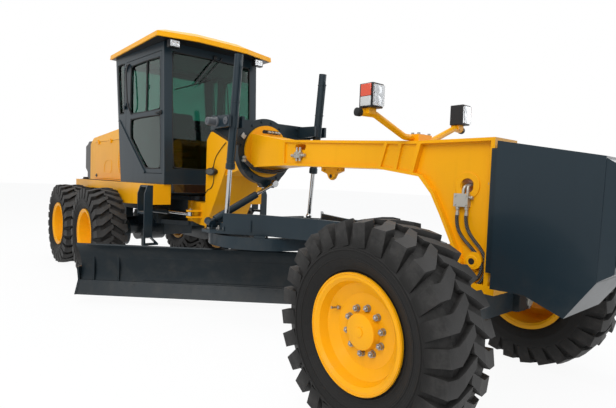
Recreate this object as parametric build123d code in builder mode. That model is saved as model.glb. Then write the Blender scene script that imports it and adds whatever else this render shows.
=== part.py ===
from build123d import *
from math import cos, pi, radians, sin, sqrt
import os

# Motor grader: six-wheel articulated machine with a mid-mounted blade.
# Frame: X forward, Y to the machine's left, Z up. The origin is on the ground,
# on the centre plane, under the middle of the rear tandem. Millimetres, degrees.

os.makedirs("parts", exist_ok=True)

# Running gaps
fit = 0.3
gap = 6.0
LEFT, RIGHT = 1, -1

# Wheels and track
wheelbase = 6140.0
tandem_pitch = 1538.0
track = 2156.0
tyre_radius = 665.0
tyre_width = 440.0
carcass_radius = 625.0
bead_radius = 318.0
rim_width = 390.0
rim_flange_radius = 352.0
rim_wall = 16.0
lugs_a_side = 26
lug_width = 92.0
lug_tip = 58.0
lug_sweep = 100.0

# Articulation
pivot_x = 1800.0
pivot_pin_radius = 45.0
hitch_low, hitch_high = 905.0, 1195.0
hitch_lug = 60.0
hitch_gap = 5.0


def keep(builder, name):
    """Label one finished piece and write it."""
    builder.part.label = name
    export_step(builder.part, f"parts/{name}.step")


def side_name(stem, side):
    """Name a piece by the side of the machine that it stands on."""
    return f"{stem}_left" if side == LEFT else f"{stem}_right"


def outline(plane, points):
    """A closed straight-sided face on a plane."""
    with BuildSketch(plane, mode=Mode.PRIVATE) as face:
        with BuildLine():
            Polyline(*points, close=True)
        make_face()
    return face.sketch


def prism_y(points, y_from, y_to):
    """A side outline, given as X and Z, carried from one Y to another."""
    with BuildPart(mode=Mode.PRIVATE) as piece:
        extrude(outline(Plane.XZ.offset(-y_from), points), amount=y_to - y_from, dir=(0, 1, 0))
    return piece.part


def prism_z(points, z_from, z_to):
    """A plan outline, given as X and Y, carried from one Z to another."""
    with BuildPart(mode=Mode.PRIVATE) as piece:
        extrude(outline(Plane.XY.offset(z_from), points), amount=z_to - z_from, dir=(0, 0, 1))
    return piece.part


def prism_x(points, x_from, x_to):
    """A cross outline, given as Y and Z, carried from one X to another."""
    with BuildPart(mode=Mode.PRIVATE) as piece:
        extrude(outline(Plane.YZ.offset(x_from), points), amount=x_to - x_from, dir=(1, 0, 0))
    return piece.part


def bar(start, end, radius):
    """A round bar between two points."""
    start, end = Vector(*start), Vector(*end)
    with BuildPart(mode=Mode.PRIVATE) as piece:
        with BuildSketch(Plane(origin=start, z_dir=end - start)):
            Circle(radius)
        extrude(amount=(end - start).length)
    return piece.part


def block(x_from, x_to, y_from, y_to, z_from, z_to):
    """A square-cornered block from its low and high sides."""
    with BuildPart(mode=Mode.PRIVATE) as piece:
        with Locations(((x_from + x_to) / 2, (y_from + y_to) / 2, (z_from + z_to) / 2)):
            Box(abs(x_to - x_from), abs(y_to - y_from), abs(z_to - z_from))
    return piece.part


# Tyres: a flat-sided carcass, one side a lug, with two staggered rows of lugs. Each lug
# runs square in from the shoulder, then sweeps to the middle between its neighbours.
tread_half = tyre_width / 2
tread_flat = 150.0
lug_pitch = 360 / lugs_a_side
crown_half = 85.0
sidewall_radius = 500.0
bead_half = tread_half - 50
# A flat-topped lug's outer corner, not its middle, reaches the tyre's radius
lug_inner, lug_bend = 15.0, tread_flat * 0.9
lug_run = (crown_half + lug_inner) / (lug_bend + lug_inner)
lug_corner = lug_tip / 2 + (lug_sweep + (lug_width - lug_tip) / 2) * lug_run
lug_top = sqrt(tyre_radius**2 - lug_corner**2)


def ring_loft(*sections):
    """A flat-sided body through rings, each given by its Y and its radius."""
    with BuildPart(mode=Mode.PRIVATE) as body:
        for y, radius in sections:
            with BuildSketch(Plane.XZ.offset(-y)):
                RegularPolygon(radius, lugs_a_side, rotation=lug_pitch / 2)
        loft(ruled=True)
    return body.part


with BuildPart() as tyre:
    add(
        ring_loft(
            (-tread_half, sidewall_radius),
            (-tread_flat, carcass_radius),
            (tread_flat, carcass_radius),
            (tread_half, sidewall_radius),
        )
    )
    for row in (1, -1):
        recess_rings = (
            (row * (tread_half + 1), sidewall_radius - 6),
            (row * (tread_half - 8), sidewall_radius - 70),
            (row * bead_half, rim_flange_radius + 4),
        )
        add(ring_loft(*recess_rings), mode=Mode.SUBTRACT)
        with BuildPart(mode=Mode.PRIVATE) as lug:
            with BuildSketch(Plane.XY.offset(sidewall_radius - 8)):
                with BuildLine():
                    Polyline(
                        (-lug_tip / 2, -row * lug_inner),
                        (lug_tip / 2, -row * lug_inner),
                        (lug_sweep + lug_width / 2, row * lug_bend),
                        (lug_sweep + lug_width / 2, row * tread_half),
                        (lug_sweep - lug_width / 2, row * tread_half),
                        (lug_sweep - lug_width / 2, row * lug_bend),
                        close=True,
                    )
                make_face()
            extrude(amount=tyre_radius + 9 - sidewall_radius)
            with BuildSketch(Plane.YZ):
                with BuildLine():
                    Polyline(
                        (-row * 20, lug_top),
                        (row * crown_half, lug_top),
                        (row * (tread_half - 14), lug_top - 20),
                        (row * (tread_half - 1), sidewall_radius - 8),
                        (row * tread_flat, sidewall_radius - 8),
                        (row * 60, carcass_radius - 60),
                        (-row * 20, carcass_radius - 60),
                        close=True,
                    )
                make_face()
            extrude(amount=400, both=True, mode=Mode.INTERSECT)
        for index in range(lugs_a_side):
            turn = index * lug_pitch + (lug_pitch / 2 if row == 1 else 0)
            add(lug.part.rotate(Axis.Y, turn))
    bore_radius = (bead_radius + fit) / cos(pi / lugs_a_side)
    add(ring_loft((-tyre_width, bore_radius), (tyre_width, bore_radius)), mode=Mode.SUBTRACT)


# Rims: a flanged barrel, a dished disc and a closed hub around the axle stub
hub_radius = 150.0
stub_radius = 75.0
stub_gap = 8.0


def make_rim(disc_out, hub_in):
    """The rim's disc stands disc_out from the middle; its hub starts at hub_in."""
    half = rim_width / 2
    with BuildPart() as rim:
        with BuildSketch(Plane.YZ):
            with BuildLine():
                Polyline(
                    (-half, rim_flange_radius - 30),
                    (-half, rim_flange_radius),
                    (-half + rim_wall, rim_flange_radius),
                    (-half + rim_wall, bead_radius),
                    (half - rim_wall, bead_radius),
                    (half - rim_wall, rim_flange_radius),
                    (half, rim_flange_radius),
                    (half, rim_flange_radius - 30),
                    (half - rim_wall, bead_radius - rim_wall),
                    (disc_out + 40, bead_radius - 36),
                    (disc_out, hub_radius + 70),
                    (disc_out, hub_radius - 35),
                    (disc_out + 45, hub_radius - 50),
                    (disc_out + 52, 0),
                    (disc_out - 20, 0),
                    (disc_out - 20, stub_radius + fit),
                    (hub_in, stub_radius + fit),
                    (hub_in, hub_radius),
                    (disc_out - 20, hub_radius),
                    (disc_out - 20, hub_radius + 64),
                    (disc_out + 18, bead_radius - 36),
                    (disc_out - 40, bead_radius - rim_wall),
                    (-half + rim_wall, bead_radius - rim_wall),
                    close=True,
                )
            make_face()
        revolve(axis=Axis.Y)
    return rim.part


front_disc = 85.0
front_hub_in = -30.0
rear_disc = -20.0
rear_hub_in = -120.0
front_rim = make_rim(front_disc, front_hub_in)
rear_rim = make_rim(rear_disc, rear_hub_in)

# Each wheel: name, its X, its rim
wheel_rows = (
    ("front", wheelbase, front_rim),
    ("middle", tandem_pitch / 2, rear_rim),
    ("rear", -tandem_pitch / 2, rear_rim),
)
for place, wheel_x, rim_shape in wheel_rows:
    for side in (LEFT, RIGHT):
        centre = Pos(wheel_x, side * track / 2, tyre_radius)
        turned = tyre.part if side == LEFT else tyre.part.mirror(Plane.XZ)
        facing = rim_shape if side == LEFT else rim_shape.mirror(Plane.XZ)
        with BuildPart() as wheel_tyre:
            add(centre * turned)
        keep(wheel_tyre, side_name(f"tyre_{place}", side))
        with BuildPart() as wheel_rim:
            add(centre * facing)
        keep(wheel_rim, side_name(f"rim_{place}", side))


# Tandem cases, stubs and the rear axle between them
case_in, case_out = 665.0, 842.0
case_radius = 195.0
axle_z = tyre_radius
axle_tube = 150.0
centre_housing = 250.0

with BuildPart() as tandem_cases:
    for side in (LEFT, RIGHT):
        with BuildPart(mode=Mode.PRIVATE) as case:
            with BuildSketch(Plane.XZ.offset(-side * case_in)):
                with Locations((0, axle_z)):
                    SlotCenterToCenter(tandem_pitch, 2 * case_radius)
                with BuildLine():
                    Polyline(
                        (-tandem_pitch / 2, axle_z + case_radius),
                        (-250, axle_z + case_radius + 55),
                        (250, axle_z + case_radius + 55),
                        (tandem_pitch / 2, axle_z + case_radius),
                        close=True,
                    )
                make_face()
            extrude(amount=-side * (case_out - case_in))
        add(case.part)
        for end in (-1, 1):
            x_stub = end * tandem_pitch / 2
            y_end = track / 2 + rear_disc - 20 - stub_gap
            add(bar((x_stub, side * (case_out - 5), axle_z), (x_stub, side * y_end, axle_z), stub_radius))
keep(tandem_cases, "tandem_cases")

with BuildPart() as rear_axle:
    add(bar((0, -case_in + fit, axle_z + 20), (0, case_in - fit, axle_z + 20), axle_tube))
    with BuildSketch(Plane.XZ.offset(220)):
        with Locations((0, axle_z + 20)):
            Circle(centre_housing)
    extrude(amount=-440)
    add(block(100, 1150, -230, 230, 640, 1080))
    add(block(100, 900, -300, 300, 740, 960))
keep(rear_axle, "rear_axle")


# Rear chassis: two rails, cross plates, axle pads, hitch lugs and the rear plate
rail_in, rail_out = 340.0, 455.0
rail_low, rail_high = 1000.0, 1290.0
rail_rear, rail_front = -1850.0, 1420.0
rear_plate_x = -1930.0
rear_plate_half = 520.0
ripper_hole_radius = 13.0
ripper_hole_y = 300.0
ripper_hole_low, ripper_hole_high = 940.0, 1190.0
tow_x, tow_z = -2070.0, 935.0
tow_lug, tow_jaw = 40.0, 50.0
tow_hole_radius = 20.0

bearer_reach = 790.0
platform_in = 506.0
platform_high = 1422.0
bearer_front = platform_in - fit
tower_top = platform_high
ram_z = 1050.0
ram_tube_x, ram_tube_y = 1250.0, 575.0
ram_eye_x, ram_eye_y = 2350.0, 400.0
ram_pin = 20.0
ram_lug = 20.0
ram_jaw = 30.0

with BuildPart() as rear_chassis:
    for side in (LEFT, RIGHT):
        add(block(rail_rear, rail_front, side * rail_in, side * rail_out, rail_low, rail_high))
        add(block(-160, 160, side * rail_in, side * rail_out, axle_z + 20 + axle_tube + fit, rail_low))
        add(
            prism_y(
                (
                    (rail_front - 400, rail_low),
                    (rail_front, hitch_low - 65),
                    (rail_front, rail_low),
                ),
                side * rail_in,
                side * rail_out,
            )
        )
    for x_from, x_to in ((rail_rear, rail_rear + 60), (rail_front - 60, rail_front)):
        add(block(x_from, x_to, -rail_out, rail_out, rail_low, rail_high))
    add(block(rail_front - 60, rail_front, -rail_out, rail_out, hitch_low - 65, rail_high))
    add(block(rear_plate_x, rail_rear, -rear_plate_half, rear_plate_half, 860, 1270))
    for low in (hitch_low - hitch_gap - hitch_lug, hitch_high + hitch_gap):
        with BuildSketch(Plane.XY.offset(low)):
            with BuildLine():
                Polyline(
                    (rail_front - 30, -rail_out + 40),
                    (rail_front - 30, rail_out - 40),
                    (pivot_x, 150),
                    (pivot_x, -150),
                    close=True,
                )
            make_face()
            with Locations((pivot_x, 0)):
                Circle(150)
                Circle(pivot_pin_radius + fit, mode=Mode.SUBTRACT)
        extrude(amount=hitch_lug)
    for low in (tow_z - tow_jaw / 2 - tow_lug, tow_z + tow_jaw / 2):
        with BuildSketch(Plane.XY.offset(low)):
            with BuildLine():
                Polyline(
                    (rear_plate_x + 5, -110),
                    (rear_plate_x + 5, 110),
                    (tow_x, 62),
                    (tow_x, -62),
                    close=True,
                )
            make_face()
            with Locations((tow_x, 0)):
                Circle(62)
                Circle(tow_hole_radius, mode=Mode.SUBTRACT)
        extrude(amount=tow_lug)
    for side in (LEFT, RIGHT):
        for x_bearer in (-1330, -400, 500):
            add(
                prism_x(
                    (
                        (side * (rail_out - 5), rail_high - 130),
                        (side * bearer_reach, rail_high - 45),
                        (side * bearer_reach, rail_high),
                        (side * (rail_out - 5), rail_high),
                    ),
                    x_bearer - 40,
                    x_bearer + 40,
                )
            )
        add(block(1340, 1410, side * (rail_out - 5), side * bearer_front, 1150, 1260))
        for x_tower in (940, 1360):
            y_rail = (side * rail_in, side * rail_out)
            add(block(x_tower - 50, x_tower + 50, *y_rail, rail_high - 5, tower_top))
        y_lug = sorted((side * (rail_out - 5), side * ram_tube_y))
        for low in (ram_z - ram_jaw - ram_lug, ram_z + ram_jaw):
            add(block(ram_tube_x - 60, ram_tube_x + 60, y_lug[0], y_lug[1], low, low + ram_lug))
            add(
                bar(
                    (ram_tube_x, side * ram_tube_y, low),
                    (ram_tube_x, side * ram_tube_y, low + ram_lug),
                    60,
                )
            )
        add(
            bar(
                (ram_tube_x, side * ram_tube_y, ram_z - ram_jaw - 5),
                (ram_tube_x, side * ram_tube_y, ram_z + ram_jaw + 5),
                ram_pin,
            )
        )
    with BuildSketch(Plane.YZ.offset(rear_plate_x)):
        with Locations(
            *[(y, z) for y in (-ripper_hole_y, ripper_hole_y) for z in (ripper_hole_low, ripper_hole_high)]
        ):
            Circle(ripper_hole_radius)
    extrude(amount=rail_rear - rear_plate_x, mode=Mode.SUBTRACT)
keep(rear_chassis, "rear_chassis")


# Engine, one plain block on the rails
engine_low = rail_high + fit
with BuildPart() as engine:
    add(block(-1250, 150, -rail_out + 60, rail_out - 60, engine_low, engine_low + 120))
    add(block(-1250, 150, -rail_out + 120, rail_out - 120, engine_low + 100, 2020))
keep(engine, "engine")


# Hood: a folded shell whose sides open behind two doors
hood_front, hood_rear = 560.0, -1700.0
hood_half = 500.0
hood_low = rail_high + fit
hood_top_front, hood_top_rear = 2370.0, 2210.0
hood_skin = 30.0
door_rear, door_front = -1420.0, 380.0
door_low, door_high = 1440.0, 2120.0
hood_hinge_y, hood_hinge_z = 512.0, door_high
hood_hinges = (-1200, -520, 160)
louvre_count = 9
louvre_pitch = 46.0


def hood_side(inset):
    """The hood's side outline, drawn in by a skin's thickness."""
    return (
        (hood_rear + inset, hood_low - 1 if inset else hood_low),
        (hood_rear + inset, hood_top_rear - 130 - inset / 2),
        (hood_rear + 120, hood_top_rear - inset),
        (hood_front - inset, hood_top_front - inset),
        (hood_front - inset, hood_low - 1 if inset else hood_low),
    )


def hood_cross(inset):
    """The hood's cross outline, with its top corners broken."""
    half = hood_half - inset
    return (
        (-half, hood_low - 2),
        (-half, hood_top_rear - 90 - inset),
        (-half + 70, hood_top_front + 20 - inset),
        (half - 70, hood_top_front + 20 - inset),
        (half, hood_top_rear - 90 - inset),
        (half, hood_low - 2),
    )


with BuildPart() as hood:
    add(prism_y(hood_side(0), -hood_half, hood_half))
    add(prism_x(hood_cross(0), hood_rear - 10, hood_front + 10), mode=Mode.INTERSECT)
    with BuildPart(mode=Mode.PRIVATE) as hollow:
        add(prism_y(hood_side(hood_skin), -hood_half + hood_skin, hood_half - hood_skin))
        add(prism_x(hood_cross(hood_skin), hood_rear, hood_front), mode=Mode.INTERSECT)
    add(hollow.part, mode=Mode.SUBTRACT)
    add(
        block(door_rear, door_front, -hood_half - 5, hood_half + 5, door_low, door_high),
        mode=Mode.SUBTRACT,
    )
    for side in (LEFT, RIGHT):
        y_pin = side * hood_hinge_y
        for x_pin in hood_hinges:
            add(bar((x_pin - 40, y_pin, hood_hinge_z), (x_pin, y_pin, hood_hinge_z), 11))
            add(bar((x_pin - 40, y_pin, hood_hinge_z), (x_pin + 40, y_pin, hood_hinge_z), 6))
            add(block(x_pin - 40, x_pin, side * 480, side * 520, hood_hinge_z + 2, hood_hinge_z + 26))
keep(hood, "hood")

for side in (LEFT, RIGHT):
    with BuildPart() as hood_door:
        add(
            block(
                door_rear + gap,
                door_front - gap,
                side * (hood_half - hood_skin),
                side * hood_half,
                door_low + gap,
                door_high - gap,
            )
        )
        with BuildSketch(Plane.XZ.offset(-side * hood_half)):
            for index in range(louvre_count):
                with Locations((door_front - 330, door_low + 130 + louvre_pitch * index)):
                    SlotOverall(300, 20)
        extrude(amount=side * hood_skin, mode=Mode.SUBTRACT)
        y_pin = side * hood_hinge_y
        for x_pin in hood_hinges:
            add(bar((x_pin + fit, y_pin, hood_hinge_z), (x_pin + 40, y_pin, hood_hinge_z), 11))
            add(
                block(
                    x_pin + fit, x_pin + 40, side * 504, side * 523, hood_hinge_z - 45, hood_hinge_z
                )
            )
            add(
                block(
                    x_pin + fit, x_pin + 40, side * 490, side * 523, hood_hinge_z - 45, hood_hinge_z - 20
                )
            )
            add(
                bar((x_pin - 5, y_pin, hood_hinge_z), (x_pin + 45, y_pin, hood_hinge_z), 6 + fit),
                mode=Mode.SUBTRACT,
            )
    keep(hood_door, side_name("hood_door", side))


# Rear cooler: a dark guard with a grille of upright bars
cooler_front = hood_rear - fit
cooler_half = hood_half - 5
with BuildPart() as rear_cooler:
    add(
        prism_y(
            (
                (cooler_front, hood_low + 20),
                (cooler_front, hood_top_rear - 60),
                (cooler_front - 130, hood_top_rear - 60),
                (cooler_front - 200, hood_top_rear - 110),
                (cooler_front - 330, hood_top_rear - 150),
                (cooler_front - 330, 1640),
                (cooler_front - 200, 1560),
                (cooler_front - 200, hood_low + 20),
            ),
            -cooler_half,
            cooler_half,
        )
    )
    with BuildSketch(Plane.YZ.offset(cooler_front - 330)):
        with GridLocations(78, 0, 10, 1):
            with Locations((0, (hood_top_rear - 150 + 1640) / 2)):
                Rectangle(44, 340)
    extrude(amount=60, mode=Mode.SUBTRACT)
keep(rear_cooler, "rear_cooler")


# Exhaust stack, its silencer can standing on the hood's sloping top
exhaust_x, exhaust_y = 250.0, 210.0
exhaust_foot = 2335.0
exhaust_can_top = exhaust_foot + 380
exhaust_top = 2990.0
with BuildPart() as exhaust:
    with BuildSketch(Plane.XZ.offset(-exhaust_y)):
        with BuildLine():
            Polyline(
                (exhaust_x, exhaust_foot),
                (exhaust_x + 95, exhaust_foot),
                (exhaust_x + 95, exhaust_foot + 50),
                (exhaust_x + 75, exhaust_foot + 60),
                (exhaust_x + 75, exhaust_can_top - 25),
                (exhaust_x + 48, exhaust_can_top),
                (exhaust_x + 48, exhaust_top),
                (exhaust_x, exhaust_top),
                close=True,
            )
        make_face()
    revolve(axis=Axis((exhaust_x, exhaust_y, 0), (0, 0, 1)))
    add(prism_y(hood_side(-fit), -hood_half, hood_half), mode=Mode.SUBTRACT)
keep(exhaust, "exhaust")


# Cab: a welded frame of even wall around one hull, narrower at the front
cab_low, cab_high = platform_high + fit, 3262.0
cab_wall = 50.0
cab_back_low, cab_back_high = 870.0, 630.0
cab_nose_low, cab_nose_high = 2200.0, 2120.0
cab_half_back, cab_half_front = 815.0, 700.0
door_gap = 7.0
pane = 6.0
pane_inset = 20.0


def cab_hull(inset):
    """The cab's outer form, drawn in evenly on every side."""
    with BuildPart(mode=Mode.PRIVATE) as hull:
        with BuildSketch(Plane.XZ):
            with BuildLine():
                Polyline(
                    (cab_back_low, cab_low),
                    (cab_back_high, cab_high),
                    (cab_nose_high, cab_high),
                    (cab_nose_low, cab_low + 170),
                    (cab_nose_low, cab_low),
                    close=True,
                )
            make_face()
            if inset:
                offset(amount=-inset, kind=Kind.INTERSECTION)
        extrude(amount=1000, both=True)
        with BuildSketch(Plane.XY.offset(1000)):
            with BuildLine():
                Polyline(
                    (cab_back_high - 40, -cab_half_back),
                    (cab_nose_low + 40, -cab_half_front),
                    (cab_nose_low + 40, cab_half_front),
                    (cab_back_high - 40, cab_half_back),
                    close=True,
                )
            make_face()
            if inset:
                offset(amount=-inset, kind=Kind.INTERSECTION)
        extrude(amount=3000, mode=Mode.INTERSECT)
    return hull.part


# Openings in the cab's sides, as X and Z, the same left and right
doorway = ((1010, 3150), (2068, 3150), (2140, 1560), (1680, 1560), (1010, 2150))
upper_pane = ((1150, 3080), (2022, 3080), (2056, 2395), (1150, 2395))
lower_pane = ((1165, 2330), (2058, 2330), (2092, 1625), (1655, 1625), (1165, 2060))
quarter_pane = ((700, 3150), (945, 3150), (945, 2420), (795, 2420))
# Openings in the cab's front and back, as Y and Z
windscreen = ((-600, 3150), (600, 3150), (590, 1630), (-590, 1630))
back_pane = ((-640, 3130), (640, 3130), (640, 2470), (-640, 2470))
cab_mid_x = 1500.0
hinge_x, hinge_y = 1006.0, 805.0
door_hinges = (2480, 3020)


def through_sides(points, trim):
    """A cutter through both side walls, drawn in or out by trim."""
    with BuildPart(mode=Mode.PRIVATE) as cutter:
        with BuildSketch(Plane.XZ):
            with BuildLine():
                Polyline(*points, close=True)
            make_face()
            if trim:
                offset(amount=-trim, kind=Kind.INTERSECTION)
        extrude(amount=1100, both=True)
    return cutter.part


def through_end(points, trim, reach):
    """A cutter from the cab's middle through its front or back wall."""
    with BuildPart(mode=Mode.PRIVATE) as cutter:
        with BuildSketch(Plane.YZ.offset(cab_mid_x)):
            with BuildLine():
                Polyline(*points, close=True)
            make_face()
            if trim:
                offset(amount=-trim, kind=Kind.INTERSECTION)
        extrude(amount=reach)
    return cutter.part


cab_outer = cab_hull(0)
cab_inner = cab_hull(cab_wall)
with BuildPart() as cab_frame:
    add(cab_outer)
    add(cab_inner, mode=Mode.SUBTRACT)
    add(through_sides(doorway, 0), mode=Mode.SUBTRACT)
    add(through_sides(quarter_pane, 0), mode=Mode.SUBTRACT)
    add(through_end(windscreen, 0, 1000), mode=Mode.SUBTRACT)
    add(through_end(back_pane, 0, -1000), mode=Mode.SUBTRACT)
    add(block(cab_nose_low - 36, cab_nose_low, -600, 600, cab_low - 110, cab_low + 20))
    for side in (LEFT, RIGHT):
        for level in door_hinges:
            add(bar((hinge_x, side * hinge_y, level), (hinge_x, side * hinge_y, level + 42), 14))
            add(bar((hinge_x, side * hinge_y, level), (hinge_x, side * hinge_y, level + 84), 8))
            add(block(955, hinge_x, side * 770, side * (hinge_y + 6), level, level + 42))
keep(cab_frame, "cab_frame")

# Panes: thin sheets at one depth in the walls, cut just under their openings
with BuildPart() as pane_shell:
    add(cab_hull(pane_inset))
    add(cab_hull(pane_inset + pane), mode=Mode.SUBTRACT)

with BuildPart() as cab_glass:
    for cutter in (
        through_sides(quarter_pane, fit),
        through_end(windscreen, fit, 1000),
        through_end(back_pane, fit, -1000),
    ):
        with BuildPart(mode=Mode.PRIVATE) as sheet:
            add(pane_shell.part)
            add(cutter, mode=Mode.INTERSECT)
        add(sheet.part)
keep(cab_glass, "cab_glass")

door_cutter = through_sides(doorway, door_gap)
for side in (LEFT, RIGHT):
    half_space = block(0, 3000, 0, side * 1200, 1000, 3500)
    with BuildPart() as cab_door:
        add(cab_outer)
        add(cab_inner, mode=Mode.SUBTRACT)
        add(door_cutter, mode=Mode.INTERSECT)
        add(half_space, mode=Mode.INTERSECT)
        add(through_sides(upper_pane, 0), mode=Mode.SUBTRACT)
        add(through_sides(lower_pane, 0), mode=Mode.SUBTRACT)
        for level in door_hinges:
            low, high = level + 42 + fit, level + 84
            add(bar((hinge_x, side * hinge_y, low), (hinge_x, side * hinge_y, high), 14))
            add(block(hinge_x, 1064, side * (hinge_y - 8), side * (hinge_y + 8), low, high))
            add(block(1026, 1064, side * 760, side * (hinge_y + 8), low, high))
            add(
                bar((hinge_x, side * hinge_y, low - 5), (hinge_x, side * hinge_y, high + 5), 8 + fit),
                mode=Mode.SUBTRACT,
            )
    keep(cab_door, side_name("cab_door", side))
    with BuildPart() as door_glass:
        for points in (upper_pane, lower_pane):
            with BuildPart(mode=Mode.PRIVATE) as sheet:
                add(pane_shell.part)
                add(through_sides(points, fit), mode=Mode.INTERSECT)
                add(half_space, mode=Mode.INTERSECT)
            add(sheet.part)
    keep(door_glass, side_name("door_glass", side))


# Roof: a shallow cap that stands over the cab on every side
roof_low = cab_high + fit
roof_rim = 62.0
roof_top = roof_low + roof_rim + 88
with BuildPart() as roof:
    for level, inset in ((roof_low, 0.0), (roof_low + roof_rim, 6.0), (roof_top, 190.0)):
        with BuildSketch(Plane.XY.offset(level)):
            with BuildLine():
                Polyline(
                    (500 + inset, -860 + inset),
                    (2270 - inset, -870 + inset),
                    (2400 - inset, -380 + inset / 3),
                    (2400 - inset, 380 - inset / 3),
                    (2270 - inset, 870 - inset),
                    (500 + inset, 860 - inset),
                    close=True,
                )
            make_face()
    loft(ruled=True)
keep(roof, "roof")

# Work lamps under the roof's front corners and tail lamps on the rear plate
with BuildPart() as work_lamps:
    for side in (LEFT, RIGHT):
        y_eave = side * 640
        add(block(2215, 2290, y_eave - 70, y_eave + 70, roof_low - fit - 105, roof_low - fit - 12))
        add(bar((2250, y_eave, roof_low - fit - 14), (2250, y_eave, roof_low - fit), 12))
        y_tail = side * 470
        add(
            block(rear_plate_x - 45, rear_plate_x - fit, y_tail - 45, y_tail + 45, 1100, 1240)
        )
keep(work_lamps, "work_lamps")


# Inside the cab: the seat on its box, and the steering console
floor_z = cab_low + cab_wall + fit
with BuildPart() as seat:
    add(block(1130, 1500, -210, 210, floor_z, floor_z + 330))
    add(block(1080, 1580, -255, 255, floor_z + 330, floor_z + 450))
    add(
        prism_y(
            (
                (1100, floor_z + 440),
                (1220, floor_z + 440),
                (1130, floor_z + 1050),
                (1030, floor_z + 1050),
            ),
            -235,
            235,
        )
    )
    for side in (LEFT, RIGHT):
        add(block(1130, 1480, side * 255, side * 340, floor_z + 560, floor_z + 620))
        add(block(1150, 1210, side * 230, side * 300, floor_z + 330, floor_z + 580))
keep(seat, "seat")

wheel_tilt = 35.0
with BuildPart() as console:
    add(
        prism_y(
            (
                (1930, floor_z),
                (2070, floor_z),
                (1960, floor_z + 640),
                (1880, floor_z + 610),
            ),
            -95,
            95,
        )
    )
    hub_point = Vector(1880, 0, floor_z + 700)
    rake = Vector(-sin(radians(wheel_tilt)), 0, cos(radians(wheel_tilt)))
    column = Plane(origin=hub_point, z_dir=rake)
    add(bar(hub_point - rake * 130, hub_point + rake * 10, 26))
    with BuildSketch(column):
        Circle(200)
        Circle(176, mode=Mode.SUBTRACT)
        Rectangle(390, 34)
        Rectangle(34, 390)
    extrude(amount=24)
    for side in (LEFT, RIGHT):
        add(block(1860, 1960, side * 90, side * 230, floor_z + 545, floor_z + 585))
        for index in range(4):
            y_lever = side * (120 + 30 * index)
            add(bar((1900, y_lever, floor_z + 580), (1870, y_lever, floor_z + 700), 7))
keep(console, "console")


# Side platforms: the yellow tank and step boxes along the rails
platform_out = 835.0
platform_low = rail_high + fit - 170
platform_rear, platform_front = -1380.0, 2180.0
with BuildPart() as side_platforms:
    for side in (LEFT, RIGHT):
        add(
            prism_y(
                (
                    (platform_rear, platform_high),
                    (platform_front, platform_high),
                    (platform_front, platform_low + 40),
                    (1080, platform_low),
                    (860, platform_low + 170),
                    (platform_rear, platform_low + 170),
                ),
                side * platform_in,
                side * platform_out,
            )
        )
        add(
            block(1480, platform_front + 1, side * (platform_in - 1), side * 600, 1000, platform_high + 1),
            mode=Mode.SUBTRACT,
        )
keep(side_platforms, "side_platforms")

# Ladders: two hanging side plates with a tread between, and a looped low step in front
ladder_in = platform_out + fit
ladder_depth = 108.0
plate_thick = 20.0
rear_post, front_post = 1930.0, 2155.0
with BuildPart() as ladders:
    for side in (LEFT, RIGHT):
        y_in, y_out = side * ladder_in, side * (ladder_in + ladder_depth)
        for x_post, foot in ((rear_post, 1030), (front_post, 740)):
            add(
                prism_x(
                    (
                        (y_in, 1405),
                        (side * (ladder_in + 70), 1405),
                        (y_out, 1300),
                        (y_out, foot),
                        (y_in, foot),
                    ),
                    x_post,
                    x_post + plate_thick,
                )
            )
        add(block(rear_post + 5, front_post + 5, y_in, y_out, 1040, 1062))
        add(block(rear_post + 5, front_post + 5, y_in, side * (ladder_in + 70), 1380, 1404))
        loop = ((0, 760), (0, 640), (-190, 640), (-190, 662), (-90, 760))
        gap_in_loop = ((-22, 745), (-22, 662), (-165, 662), (-82, 745))
        for points, mode in ((loop, Mode.ADD), (gap_in_loop, Mode.SUBTRACT)):
            spots = tuple((side * (ladder_in + ladder_depth + y), z) for y, z in points)
            add(prism_x(spots, front_post - 60, front_post + plate_thick), mode=mode)
keep(ladders, "ladders")


# Articulation rams: a tube that swings on the rear frame and a rod that slides in it
ram_tube_radius, ram_rod_radius = 42.0, 24.0
ram_tube_length = 620.0
ram_rod_start = 335.0
ram_length = sqrt((ram_eye_x - ram_tube_x) ** 2 + (ram_eye_y - ram_tube_y) ** 2)
rod_gap = 0.5


def along(start, end, distance):
    """The point at a distance from start on the line towards end."""
    return Vector(*start) + (Vector(*end) - Vector(*start)).normalized() * distance


foot = (ram_tube_x, -ram_tube_y, ram_z)
tip = (ram_eye_x, -ram_eye_y, ram_z)
with BuildPart() as ram_tube:
    add(bar((foot[0], foot[1], ram_z - 25), (foot[0], foot[1], ram_z + 25), 45))
    add(bar(along(foot, tip, 20), along(foot, tip, 90), 25))
    add(bar(along(foot, tip, 75), along(foot, tip, ram_tube_length), ram_tube_radius))
    add(bar(along(foot, tip, 105), along(foot, tip, ram_tube_length - 45), 34), mode=Mode.SUBTRACT)
    add(
        bar(along(foot, tip, 200), along(foot, tip, ram_tube_length + 5), ram_rod_radius + rod_gap),
        mode=Mode.SUBTRACT,
    )
    add(
        bar((foot[0], foot[1], ram_z - 30), (foot[0], foot[1], ram_z + 30), ram_pin + fit),
        mode=Mode.SUBTRACT,
    )
with BuildPart() as ram_rod:
    add(bar(along(foot, tip, ram_rod_start), along(foot, tip, ram_length - 20), ram_rod_radius))
    add(bar((tip[0], tip[1], ram_z - 23), (tip[0], tip[1], ram_z + 23), 44))


def keep_pair(right, stem):
    """Export a right-hand piece and its mirror image as the left-hand one."""
    keep(right, stem + "_right")
    with BuildPart() as left:
        add(right.part.mirror(Plane.XZ))
    keep(left, stem + "_left")


keep_pair(ram_tube, "ram_tube")
keep_pair(ram_rod, "ram_rod")


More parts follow.
